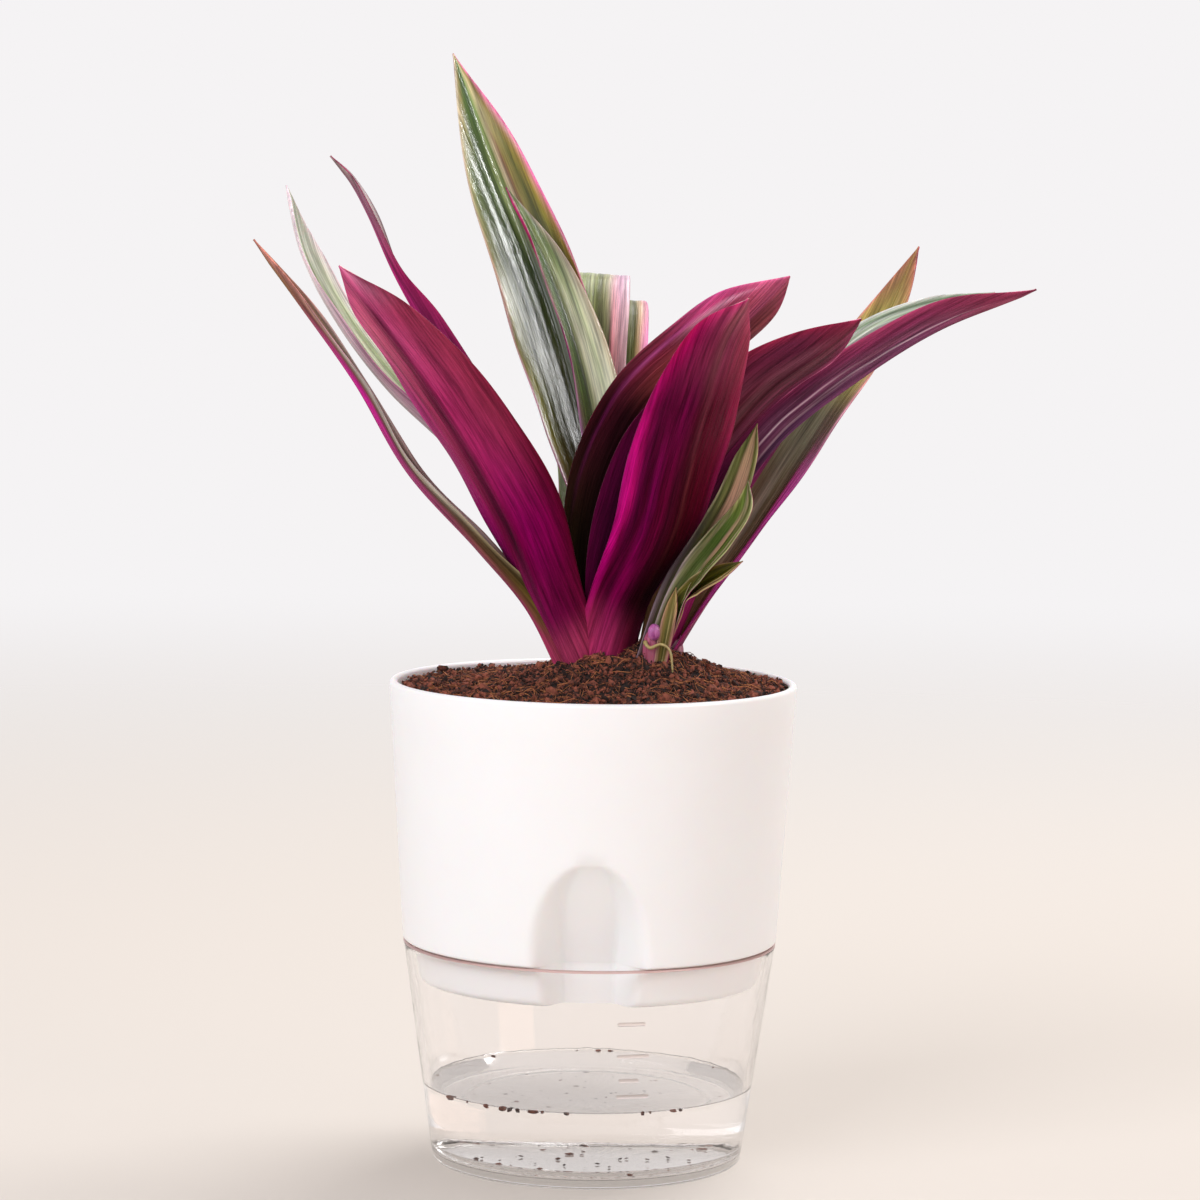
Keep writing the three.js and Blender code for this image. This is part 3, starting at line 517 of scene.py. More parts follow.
def cup_inner(z):
    return cup_outer(z) - CUP_WALL


def neck_radius(z):
    return cup_inner(z) - NECK_CLEAR


def pot_radius(z):
    return POT_RIM_R - (POT_RIM_Z - z) * POT_FLARE


def smoothstep(low, high, x):
    s = np.clip((x - low) / (high - low), 0, 1)
    return s * s * (3 - 2 * s)


def scoop_depth(angle, z):
    """How far the watering scoop sets the wall back."""
    rise = max(0.0, z - SCOOP_ARCH_Z) / (SCOOP_TOP_Z - SCOOP_ARCH_Z)
    if rise >= 1:
        return np.zeros_like(angle)
    side = np.abs(angle) / (SCOOP_HALF_ANGLE * math.sqrt(1 - rise * rise))
    slope = min(1.0, (SCOOP_TOP_Z - z) / (SCOOP_TOP_Z - CUP_RIM_Z))
    return SCOOP_DEPTH * slope ** SCOOP_BOW * (1 - smoothstep(SCOOP_FLAT, 1, side))


def set_back(row, angle):
    """The radius of a pot row (radius, z, inset) at each angle: inset is how far its wall lies
    inside the pot's outer face, or None where the scoop doesn't reach."""
    radius, z, inset = row
    if inset is None:
        return np.full(angle.shape, radius)
    wall = pot_radius(z) - inset - scoop_depth(angle, z)
    if z > STEP_Z:
        return np.minimum(radius, wall)
    return (radius + wall - np.hypot(radius - wall, NECK_BLEND)) / 2


STEP_ROUND, LIP_ROUND = 0.7, 1.0  # rounding of the step's corner and of the rim
NECK_ROWS, PLAIN_ROWS = (50.0, 53.0), (90.0, 100.0, 110.0)  # heights of rows of points
SCOOP_PITCH, BACK_PITCH = 0.8, 2.0  # height between rows, in front of the scoop's wall and behind


def pot_profile():
    corner_r = neck_radius(NECK_Z) - CORNER
    rows = [(0, NECK_Z, None), (corner_r, NECK_Z, 0)]
    rows += [(r, z, 0) for r, z in arc((corner_r, NECK_Z + CORNER), CORNER, -80, 0, 7)]
    rows += [(neck_radius(z), z, 0) for z in (*NECK_ROWS, STEP_Z - 0.05)]
    step = (pot_radius(STEP_Z) - STEP_ROUND, STEP_Z + STEP_ROUND)
    rows += [(r, z, 0) for r, z in arc(step, STEP_ROUND, -90, 0, 6)]
    rows += [(pot_radius(z), z, 0) for z in np.arange(STEP_Z + 1.5, SCOOP_TOP_Z + 0.5, SCOOP_PITCH)]
    rows += [(pot_radius(z), z, None) for z in (84.0, *PLAIN_ROWS)]
    lip = (POT_RIM_R - LIP_ROUND, POT_RIM_Z - LIP_ROUND)
    rows += [(r, z, None) for r, z in arc(lip, LIP_ROUND, 0, 180, 11)]
    inner = [(pot_radius(z) - POT_WALL, z, None) for z in (112.0, 100.0, 90.0)]
    inner += [(pot_radius(z) - POT_WALL, z, POT_WALL)
              for z in np.arange(SCOOP_TOP_Z, SCOOP_ARCH_Z, -BACK_PITCH)]
    inner += [(neck_radius(z) - POT_WALL, z, POT_WALL) for z in (STEP_Z + NECK_FLOOR, 52.0)]
    floor = NECK_Z + NECK_FLOOR
    return rows + inner + [(corner_r, floor, POT_WALL), (0, floor, None)]


def slot_cutter():
    """Points and faces of one bar with round ends for each drain slot, through the pot's floor."""
    length, width = SLOT
    points, faces = [], []
    sides = 24
    for k in range(SLOT_COUNT):
        turn = 2 * math.pi * (k + 0.5) / SLOT_COUNT
        first = len(points)
        for z in (NECK_Z - 1, NECK_Z + NECK_FLOOR + 0.03):
            for a in np.linspace(0, 2 * math.pi, sides, endpoint=False) + math.pi / sides:
                x = SLOT_R + (length - width) / 2 * np.sign(math.cos(a)) + width / 2 * math.cos(a)
                y = width / 2 * math.sin(a)
                points.append((x * math.cos(turn) - y * math.sin(turn),
                               x * math.sin(turn) + y * math.cos(turn), z))
        faces += closed(2, sides, first)
    return points, faces


def cut_slots(pot):
    cutter = new_object("slots", new_mesh("slots", *slot_cutter()))
    cut = pot.modifiers.new("slots", "BOOLEAN")
    cut.operation, cut.solver, cut.object = "DIFFERENCE", "EXACT", cutter
    ready = pot.evaluated_get(bpy.context.evaluated_depsgraph_get())
    uncut = (pot.data, cutter.data)
    pot.data = bpy.data.meshes.new_from_object(ready)
    pot.modifiers.clear()
    pot.data.name = "pot"
    pot.data.set_sharp_from_angle(angle=math.radians(50))
    bpy.data.objects.remove(cutter)
    for mesh in uncut:
        bpy.data.meshes.remove(mesh)


def make_pot():
    finish = Finish("pot_plastic", Subsurface_Weight=0.12, Subsurface_Scale=0.004)
    at = finish.place()
    cloud, scuff = finish.noise(at, 0.035, 3), finish.noise(at, 0.25, 4)
    finish.set("Base Color", finish.mix(cloud, linear("f8f6f6"), linear("f4f1f1")))
    finish.set("Roughness", finish.span(scuff, 0.3, 0.7, 0.3, 0.42))
    finish.set("Normal", finish.bump(finish.noise(at, 1.6, 2), 0.01, 0.25))
    points, faces = turned(pot_profile(), set_back)
    pot = add_piece("pot", points, faces, finish.material, ["inner_pot"])
    cut_slots(pot)
    blockers = bpy.data.collections.new("blockers")
    blockers.objects.link(pot)
    bpy.data.objects["shine"].light_linking.blocker_collection = blockers  # it shines past the leaves


# ---- cup and water ----
CUP_FOOT_ROUND, CUP_LIP_ROUND, CUP_INNER_ROUND = 1.5, 0.5, 1.3
CUP_ROWS = (14, 22, 30, 38, 46, CUP_RIM_Z - 2, CUP_RIM_Z - 1.2)  # heights of rows of points
CUP_MIDDLE_R = 12  # a ring of points on the cup's floor
BAR_HEIGHT, BAR_AROUND = 1.0, 24
BAR_RINGS = ((1.0, -0.08), (0.97, 0.06), (0.85, 0.16), (0.62, 0.25), (0.3, 0.3))  # share, relief
WATER_SINK = 0.25  # how far the water reaches into the cup's wall
MENISCUS = ((-0.1, 0.46), (0.1, 0.36), (0.35, 0.2), (0.7, 0.08), (1.2, 0.02), (1.8, 0), (3, 0))


def clear_finish(name, index, tint, roughness=0.02):
    """Clear material that lets lamps through, so that it throws no black shadow."""
    finish = Finish(name, roughness, Transmission_Weight=1.0, IOR=index)
    finish.shader.inputs["Base Color"].default_value = linear(tint)
    veil = finish.add("ShaderNodeBsdfTransparent")
    veil.inputs["Color"].default_value = linear("fdfdfd")
    path = finish.add("ShaderNodeLightPath").outputs
    both = finish.add("ShaderNodeMixShader")
    finish.put(both.inputs[0], finish.math("MAXIMUM", path["Is Shadow Ray"], path["Is Diffuse Ray"]))
    finish.put(both.inputs[1], finish.shader.outputs[0])
    finish.put(both.inputs[2], veil.outputs[0])
    finish.put(finish.output.inputs["Surface"], both.outputs[0])
    return finish


def bead_rows(z):
    """Rows over the low ring moulded on the cup's floor, from its outside to its inside."""
    return [(BEAD_R - x * BEAD[0], z + BEAD[1] * 0.5 * (1 + math.cos(math.pi * x)))
            for x in np.linspace(-1, 1, 9)]


def make_cup():
    finish = clear_finish("clear_plastic", 1.5, "fefdfd")
    finish.set("Normal", finish.bump(finish.noise(finish.place(), 0.12, 2), 0.25, 0.15))
    foot, lip, fillet = CUP_FOOT_ROUND, CUP_LIP_ROUND, CUP_INNER_ROUND
    rows = [(0, 0), (cup_outer(0) - foot, 0)]
    rows += arc((cup_outer(foot) - foot, foot), foot, -70, 0, 6)
    rows += [(cup_outer(z), z) for z in (2.3, 6, *CUP_ROWS)]
    rows += arc((CUP_RIM_R - lip, CUP_RIM_Z - lip), lip, 0, 90, 7)
    rows += arc((cup_inner(CUP_RIM_Z) + lip, CUP_RIM_Z - lip), lip, 90, 180, 7)
    rows += [(cup_inner(z), z) for z in (*CUP_ROWS[::-1], 8, 4.8, 4.2)]
    rows += arc((cup_inner(CUP_FLOOR) - fillet, CUP_FLOOR + fillet), fillet, 0, -90, 6)
    rows += bead_rows(CUP_FLOOR) + [(CUP_MIDDLE_R, CUP_FLOOR), (0, CUP_FLOOR)]
    points, faces = turned(rows)
    cup = add_piece("reservoir", points, faces, finish.material, ["reservoir_cup"])
    # Painted reflection: the rim's mauve, laid on as partly diffuse colour, stands for the warm line
    # that the clear rim shows by refraction.
    edge = Finish("cup_lip_painted_reflection", 0.3, Transmission_Weight=0.35, IOR=1.3)
    pale = edge.noise(edge.place(), 0.2, 2)
    edge.set("Base Color", edge.mix(pale, linear("c8a09c"), linear("dcbab4")))
    cup.data.materials.append(edge.material)
    for face in cup.data.polygons:
        face.material_index = int(face.center.z > (CUP_RIM_Z - lip) * MM)
    make_level_bars()


def make_level_bars():
    """Short raised bars with round ends, on the cup's outside."""
    points, faces = [], []
    for x, z, length in LEVEL_BARS:
        outer = cup_outer(z)
        first = len(points)
        for share, proud in BAR_RINGS:
            for turn in np.linspace(0, 2 * math.pi, BAR_AROUND, endpoint=False):
                along = ((length - BAR_HEIGHT) / 2 * np.sign(math.cos(turn))
                         + BAR_HEIGHT / 2 * share * math.cos(turn))
                angle, radius = (x + along) / outer, outer + proud
                points.append((radius * math.sin(angle), -radius * math.cos(angle),
                               z + BAR_HEIGHT / 2 * share * math.sin(turn)))
        faces += closed(len(BAR_RINGS), BAR_AROUND, first)
    finish = clear_finish("bar_plastic", 1.12, "f8f0ee", 0.15)
    add_piece("level_bars", points, faces, finish.material)


def make_water():
    """It meets the cup's wall, so that no air shows between them, and creeps up it a little."""
    finish = clear_finish("water", 1.33, "fefefe", 0.0)
    finish.set("Normal", finish.bump(finish.noise(finish.place(), 0.03, 2), 0.3, 0.1))
    bottom, fillet = CUP_FLOOR - WATER_SINK, CUP_INNER_ROUND
    rows = [(0, bottom), (CUP_MIDDLE_R, bottom)] + bead_rows(bottom)[::-1]
    rows += arc((cup_inner(CUP_FLOOR) - fillet, CUP_FLOOR + fillet), fillet + WATER_SINK, -90, 0, 6)
    rows += [(cup_inner(z) + WATER_SINK, z)
             for z in (4.8, 8, 14, WATER_Z - 1, WATER_Z, WATER_Z + 0.45)]
    rows += [(cup_inner(WATER_Z) - inward, WATER_Z + climb) for inward, climb in MENISCUS]
    points, faces = turned(rows + [(20, WATER_Z), (0, WATER_Z)])
    add_piece("reservoir_water", points, faces, finish.material, ["water"])


# ---- soil ----
SOIL_CLEAR = 0.05  # between the soil and the pot
SOIL_RINGS, SOIL_ROUGH, SOIL_SINK = 90, 0.28, 0.5  # of its top, which lies under the crumbs
CRUMBS, BIG_CRUMBS, FIBRES, SETTLED = 9500, 420, 1500, 210  # how many
CRUMB_STRETCH, FACETED = (0.45, 1.4), 0.28  # range of their proportions; lumpiness of small ones
FIBRE_LENGTH, FIBRE_R = (1.5, 7.5), (0.05, 0.14)
FIBRE_STEPS, FIBRE_SIDES = 6, 4


def soil_height(x, y):
    heap = MOUND_HEIGHT * np.exp(-((x - MOUND_X) ** 2 + (y - MOUND_Y) ** 2) / (2 * MOUND_SPREAD ** 2))
    broad = LUMPS[0] * np.sin(x * 0.55 + 1) * np.cos(y * 0.6)
    return SOIL_EDGE_Z + heap + broad + LUMPS[1] * np.sin(x * 0.9 - y * 0.8)


def soil_finish(name, dark, light, pit_shade_colour):
    """Crumbly earth, whose tint differs from grain to grain and within one. Small spots in it are
    painted dark, as painted shade in its hollows.
    """
    finish = Finish(name, 0.85, Specular_IOR_Level=0.3)
    at = finish.place()
    mottle = finish.span(finish.noise(at, 0.5, 4), 0.3, 0.7, -0.3, 0.3)
    tint = finish.span(finish.plus(finish.attribute("tint"), mottle), 0.1, 0.9)
    # Painted shade: small dark spots that stand for the shade in the soil's hollows.
    painted_pit_shade = finish.span(finish.cells(at, 0.9), 0.05, 0.5, 0.7, 0.0)
    base = finish.mix(tint, linear(dark), linear(light))
    finish.set("Base Color", finish.mix(painted_pit_shade, base, linear(pit_shade_colour)))
    finish.set("Normal", finish.bump(finish.noise(at, 3.0, 5, 0.65), 0.25, 0.9))
    return finish.material


def make_soil(rng):
    """The body of the soil with a rough top. Crumbs and fibres lie on it."""
    inset = POT_WALL + SOIL_CLEAR
    top_r = pot_radius(SOIL_EDGE_Z) - inset
    floor = NECK_Z + NECK_FLOOR + SOIL_CLEAR
    rows = [(0, floor, None), (neck_radius(NECK_Z) - CORNER - 2, floor, inset)]
    rows += [(neck_radius(z) - inset, z, inset) for z in (50.0, 56.0)]
    rows += [(pot_radius(z) - inset, z, inset) for z in np.arange(SCOOP_ARCH_Z, SCOOP_TOP_Z, 3.0)]
    rows += [(pot_radius(z) - inset, z, None) for z in (90.0, 105.0)]
    rows += [(top_r * s, SOIL_EDGE_Z, None) for s in np.linspace(1, 0.01, SOIL_RINGS)]
    points, faces = turned(rows + [(0, SOIL_EDGE_Z, None)], set_back)
    top = points[:, 2] > SOIL_EDGE_Z - 0.01
    x, y = points[top, 0], points[top, 1]
    from_wall = np.clip((top_r - np.hypot(x, y)) / 1.5, 0, 1)
    points[top, 2] = soil_height(x, y) + rng.normal(0, SOIL_ROUGH, top.sum()) * from_wall - SOIL_SINK
    material = soil_finish("soil", "1c0e0a", "4a281c", "120806")
    add_piece("soil_body", points, faces, material, ["soil"],
              {"tint": rng.uniform(0.1, 0.6, len(points))})


def ball(subdivisions):
    """Points and faces of a unit icosphere."""
    work = bmesh.new()
    bmesh.ops.create_icosphere(work, subdivisions=subdivisions, radius=1.0)
    points = np.array([v.co for v in work.verts])
    faces = np.array([[v.index for v in f.verts] for f in work.faces])
    work.free()
    return points, faces


def turns(rng, count):
    """Random rotation matrices."""
    q = rng.normal(size=(count, 4))
    w, x, y, z = (q / np.linalg.norm(q, axis=1, keepdims=True)).T
    return np.stack([
        np.stack([1 - 2 * (y * y + z * z), 2 * (x * y - z * w), 2 * (x * z + y * w)], -1),
        np.stack([2 * (x * y + z * w), 1 - 2 * (x * x + z * z), 2 * (y * z - x * w)], -1),
        np.stack([2 * (x * z - y * w), 2 * (y * z + x * w), 1 - 2 * (x * x + y * y)], -1)], 1)


def crumbs(rng, places, sizes, subdivisions, lumpy=0.2, flat=1.0):
    """Lumpy grains at places, pressed down by flat. Returns points, faces and each point's tint."""
    shape, faces = ball(subdivisions)
    count = len(places)
    lumps = 1 + rng.normal(0, lumpy, (count, len(shape), 1)).clip(-0.5, 0.5)
    stretch = rng.uniform(*CRUMB_STRETCH, (count, 1, 3))
    grains = shape[None] * lumps * stretch * sizes[:, None, None]
    grains = np.einsum("nij,nvj->nvi", turns(rng, count), grains) * [1, 1, flat] + places[:, None]
    all_faces = (faces[None] + np.arange(count)[:, None, None] * len(shape)).reshape(-1, 3)
    tint = np.repeat(rng.uniform(0, 1, count), len(shape))
    return grains.reshape(-1, 3), all_faces.tolist(), tint


def scattered(rng, count, reach):
    """Random places on the soil, at its height."""
    r = reach * np.sqrt(rng.uniform(0, 1, count))
    a = rng.uniform(0, 2 * math.pi, count)
    x, y = r * np.cos(a), r * np.sin(a)
    return np.stack([x, y, soil_height(x, y)], -1)


def lay_crumbs(name, rng, material, places, sizes, subdivisions=1, lumpy=0.2, flat=1.0):
    points, faces, tint = crumbs(rng, places, sizes, subdivisions, lumpy, flat)
    return add_piece(name, points, faces, material, attributes={"tint": tint},
                     recalc=False)


def make_crumbs(rng):
    """Small and fine crumbs with facets, and big round ones, all over the soil."""
    material = soil_finish("soil_crumbs", "200d08", "94503c", "140805")
    reach = POT_RIM_R - POT_WALL - 0.9
    small = scattered(rng, CRUMBS, reach)
    sizes = rng.gamma(4, 0.09, CRUMBS).clip(0.15, 0.8)
    small[:, 2] += sizes * rng.uniform(-0.4, 0.8, CRUMBS)
    lay_crumbs("soil_crumbs_small", rng, material, small, sizes, lumpy=FACETED).data.shade_flat()
    fine = scattered(rng, CRUMBS, reach)
    sizes = rng.uniform(0.12, 0.3, CRUMBS)
    fine[:, 2] += rng.uniform(-0.1, 0.45, CRUMBS)
    lay_crumbs("soil_crumbs_fine", rng, material, fine, sizes, lumpy=FACETED).data.shade_flat()
    big = scattered(rng, BIG_CRUMBS, reach - 1)
    sizes = rng.gamma(5, 0.13, BIG_CRUMBS).clip(0.4, 1.4)
    big[:, 2] += sizes * rng.uniform(-0.4, 0.5, BIG_CRUMBS)
    lay_crumbs("soil_crumbs_big", rng, material, big, sizes, 2)


def tube(path, radii, sides):
    """Rings of points round a path."""
    path = np.asarray(path, float)
    along = np.gradient(path, axis=0)
    along /= np.linalg.norm(along, axis=1, keepdims=True)
    side = np.cross(along, [0.31, 0.17, 0.93])
    side /= np.linalg.norm(side, axis=1, keepdims=True)
    over = np.cross(side, along)
    turn = np.linspace(0, 2 * math.pi, sides, endpoint=False)
    ring = np.cos(turn)[None, :, None] * side[:, None] + np.sin(turn)[None, :, None] * over[:, None]
    return path[:, None] + ring * np.asarray(radii)[:, None, None]


def make_fibres(rng):
    """Coir fibres that lie on the soil and stick out of it."""
    points, faces, tint = [], [], []
    s = np.linspace(-0.5, 0.5, FIBRE_STEPS)
    for start in scattered(rng, FIBRES, POT_RIM_R - POT_WALL - 3.5):
        length = rng.uniform(*FIBRE_LENGTH)
        heading = rng.uniform(0, 2 * math.pi)
        bend = rng.normal(0, 0.25)
        x = start[0] + length * s * np.cos(heading + bend * s)
        y = start[1] + length * s * np.sin(heading + bend * s)
        lift = rng.uniform(0.15, 0.7) + rng.normal(0, 0.5) * s + rng.normal(0.3, 0.6) * (0.25 - s * s)
        if np.hypot(x, y).max() >= POT_RIM_R - POT_WALL - 0.5:
            continue
        radii = rng.uniform(*FIBRE_R) * (1 - 0.5 * np.abs(2 * s))
        rings = tube(np.stack([x, y, soil_height(x, y) + lift], -1), radii, FIBRE_SIDES)
        faces += closed(FIBRE_STEPS, FIBRE_SIDES, len(points))
        points += rings.reshape(-1, 3).tolist()
        tint += [rng.uniform(0, 1)] * FIBRE_STEPS * FIBRE_SIDES
    material = soil_finish("soil_fibre", "4c2012", "c47c4c", "3a180c")
    add_piece("soil_fibres", points, faces, material, attributes={"tint": tint})


# Crumbs on the water: angle from the front in degrees, share of the water's radius, and size.
AFLOAT = ((-57, 1, 1.2), (-47, 1, 0.35), (-38, 1, 0.7), (-31, 1, 1.15), (-28, 1, 1.0), (-25, 1, 0.8),
          (-19, 1, 1.3), (-16, 0.98, 0.9), (-7, 1, 0.6), (20, 1, 0.75), (23, 0.99, 0.3), (32, 1, 0.9),
          (35, 1, 0.55), (-2, 0.6, 0.3), (14, 0.5, 0.3), (176, 0.99, 0.9), (171, 0.99, 0.8),
          (-176, 1, 0.5), (120, 0.97, 0.6), (-95, 0.99, 0.5), (-140, 0.98, 0.7))


def make_floating(rng):
    """Crumbs that float at the water's edge, and finer ones that lie on the cup's floor."""
    material = soil_finish("crumbs_wet", "2a100a", "6a3420", "1a0a06")
    angle, share, size = np.array(AFLOAT).T
    angle, r = np.radians(angle), (cup_inner(WATER_Z) - 0.5) * share
    places = np.stack([r * np.sin(angle), -r * np.cos(angle), np.full(len(r), WATER_Z - 0.1)], -1)
    lay_crumbs("crumbs_afloat", rng, material, places, size * 0.95, 2, 0.12, 0.6)
    angle = rng.uniform(-math.pi, math.pi, SETTLED)
    edge = rng.uniform(0, 1, SETTLED) < 0.6  # most lie in the corner below the wall
    r = np.where(edge, rng.normal(34.6, 0.8, SETTLED).clip(0, 35.4),
                 34 * np.sqrt(rng.uniform(0, 1, SETTLED)))
    places = np.stack([r * np.sin(angle), -r * np.cos(angle), np.full(SETTLED, CUP_FLOOR + 0.2)], -1)
    sizes = np.where(edge, rng.uniform(0.12, 0.32, SETTLED),
                     rng.gamma(3, 0.12, SETTLED).clip(0.15, 0.8))
    lay_crumbs("crumbs_settled", rng, material, places, sizes, 1, 0.2, 0.3)


# ---- leaves ----
def through(values, t, centripetal):
    """A Catmull-Rom spline through rows of values, with one step of t for each row."""
    values = np.asarray(values, float)
    ends = np.vstack([2 * values[0] - values[1], values, 2 * values[-1] - values[-2]])
    place = np.clip(t, 0, 1) * (len(values) - 1)
    i = np.minimum(place.astype(int), len(values) - 2)
    w = (place - i)[:, None]
    p0, p1, p2, p3 = (ends[i + k] for k in range(4))
    if centripetal:
        d0, d1, d2 = (np.maximum(((b - a) ** 2).sum(1), 1e-8)[:, None] ** 0.25
                      for a, b in ((p0, p1), (p1, p2), (p2, p3)))
        m1 = ((p1 - p0) / d0 - (p2 - p0) / (d0 + d1) + (p2 - p1) / d1) * d1
        m2 = ((p2 - p1) / d1 - (p3 - p1) / (d1 + d2) + (p3 - p2) / d2) * d1
    else:
        m1, m2 = (p2 - p0) / 2, (p3 - p1) / 2
    return p1 + w * (m1 + w * ((3 * (p2 - p1) - 2 * m1 - m2) + w * (2 * (p1 - p2) + m1 + m2)))


def unit(vectors):
    return vectors / np.linalg.norm(vectors, axis=-1, keepdims=True)


BLADE_BASE, BLADE_MIDDLE, BLADE_EDGE = 2.2, 1.15, 0.5  # thickness
TIP_HALF = 0.14  # half the width kept at the very tip
FLESHY, MARGIN_ROUND = 3, 14  # the base's extra thickness ends at a third of the length
RIDGE_PITCH, RIDGE = 2.4, 0.05  # lengthwise ridges
WAVE_LENGTH, WAVE = 34.0, 0.35  # slow waves of the margins
KEEL, KEEL_WIDTH = 0.25, 0.05
CROWDING = 0.3  # of the points towards the margins
GRID = (120, 45)  # points along and across
SMALL_WIDTH, SMALL_GRID, SMALL_SCALE = 12, (60, 25), 0.6  # narrower blades are thinner


def blade_line(rows, t):
    """At each t along a blade: its middle, the directions to its side and up, and half its width."""
    middle = through(rows[:, :3], t, True)
    along = unit(through(rows[:, :3], np.minimum(1, t + 0.01), True)
                 - through(rows[:, :3], np.maximum(0, t - 0.01), True))
    facing = np.radians(through(rows[:, 4:5], t, False)[:, 0])
    up = np.stack([np.cos(facing), np.sin(facing), np.ones(len(t))], -1)
    up = unit(up - along * (up * along).sum(1, keepdims=True))
    half = np.maximum(through(rows[:, 3:4], t, False)[:, 0] / 2, TIP_HALF)
    return middle, np.cross(along, up), up, half


def make_leaf(name, seed):
    """A blade folded along its midrib, with ridges, a keel and slow waves in its margins. Arrays
    run along it, then across it, then over x, y and z."""
    fold, rows = LEAVES[name]
    rows = np.array(rows, float)
    small = rows[:, 3].max() < SMALL_WIDTH
    count, columns = SMALL_GRID if small else GRID
    scale = SMALL_SCALE if small else 1.0
    t = np.linspace(0, 1, count)
    middle, side, up, half = blade_line(rows, t)
    run = np.concatenate([[0], np.cumsum(np.linalg.norm(np.diff(middle, axis=0), axis=1))])
    side, up = side[:, None], up[:, None]
    half, bend = half[:, None, None], np.radians(fold[0] + (fold[1] - fold[0]) * t)[:, None, None]

    spread = np.linspace(-1, 1, columns)
    across = (1 - CROWDING) * spread + CROWDING * np.sin(spread * math.pi / 2)
    u = across[None, :, None]
    soft = np.hypot(u, MIDRIB_SOFTNESS)
    height = math.hypot(1, MIDRIB_SOFTNESS) - MIDRIB_SOFTNESS
    rise, slope = (soft - MIDRIB_SOFTNESS) / height, u / soft / height
    normal = unit(up * np.cos(bend) - side * slope * np.sin(bend))
    centre = middle[:, None] + side * u * half * np.cos(bend) + up * rise * half * np.sin(bend)

    taper = np.minimum(1, half / 4)
    phase = seed * 1.7
    over = 2 * math.pi * u * half / RIDGE_PITCH + phase
    ridge = RIDGE * scale * np.cos(over) * (1 - np.abs(u) ** 3)
    down = 2 * math.pi * run[:, None, None] / WAVE_LENGTH + phase + 1.3 * np.sign(u)
    wave = WAVE * scale * np.sin(down) * u ** 4
    keel = -KEEL * np.exp(-(u / KEEL_WIDTH) ** 2)
    centre = centre + normal * (ridge + wave + keel) * taper

    thick = BLADE_BASE + (BLADE_MIDDLE - BLADE_BASE) * np.minimum(1, FLESHY * t)[:, None, None]
    thick = scale * (thick + (BLADE_EDGE - thick) * np.abs(u) * taper)
    rounded = np.sqrt(np.maximum(0, 1 - np.abs(u) ** MARGIN_ROUND))
    thick = thick * rounded * np.minimum(1, 0.35 + half / 2)
    upper, under = centre + normal * thick / 2, centre - normal * thick / 2
    rings = np.concatenate([upper, under[:, -2:0:-1]], 1)
    points, faces = capped(rings)

    around = np.concatenate([across, across[-2:0:-1]])
    margin = np.abs(across) > 0.999
    face = np.concatenate([np.where(margin, 0.5, 1.0), np.zeros(columns - 2)])  # 1 is the upper one
    attributes = {"along": t[:, None], "run": run[:, None], "across": around, "face": face,
                  "span": half[:, :, 0] * around}
    attributes = {key: np.broadcast_to(v, rings.shape[:2]) for key, v in attributes.items()}
    finish = leaf_finish(name, seed)
    add_piece(name + "_blade", points, faces, finish, [name], attributes)


def face_colour(finish, along, place, stations):
    """The colour of one face: bands across the blade that change along it."""
    colour = finish.bands(place, stations[0][1])
    for (low, _), (high, stops) in zip(stations, stations[1:]):
        colour = finish.mix(finish.span(along, low, high), colour, finish.bands(place, stops))
    return colour


BAND_DRIFT = 0.025  # how far the bands wander, as a share of the blade's width
STREAK_SHADES, BROAD_SHADES, SHADING = (0.5, 1.45), (0.8, 1.2), 0.85  # ranges and their weight
DEEPEN = 1.14  # gamma
UNDER_SPECULAR, UPPER_SPECULAR = 0.02, 0.4
UNDER_ROUGHER = 0.2  # than the upper face
RELIEF, GRAIN, SKIN = 0.9, 0.07, 0.08  # height of the streaks, and shares of it for finer bumps


def leaf_colour(finish, look, span, run, streaks, seed):
    """The bands of both faces, darker and lighter in streaks."""
    along, across, face = (finish.attribute(key) for key in ("along", "across", "face"))
    drift = finish.noise(finish.vector(finish.times(run, 0.03), float(seed)), 1.0, 2)
    place = finish.plus(finish.span(across, -1, 1, smooth=False),
                        finish.span(drift, 0.3, 0.7, -BAND_DRIFT, BAND_DRIFT, False))
    mirrored = finish.math("SUBTRACT", 1.0, place)
    upper = face_colour(finish, along, place, look.get("upper", GREEN_FACE))
    under = face_colour(finish, along, mirrored, look.get("under", PURPLE_FACE))
    colour = finish.mix(finish.span(face, 0.45, 0.55), under, upper)
    broad = finish.streaks(span, run, 0.3, 0.015, seed + 40)
    shade = finish.times(finish.span(streaks, 0.38, 0.62, *STREAK_SHADES, False),
                         finish.span(broad, 0.35, 0.65, *BROAD_SHADES, False))
    colour = finish.mix(SHADING, colour, finish.vector(shade, shade, shade), "MULTIPLY")
    deeper = finish.add("ShaderNodeGamma")
    finish.put(deeper.inputs[0], colour)
    deeper.inputs[1].default_value = DEEPEN
    return deeper.outputs[0]


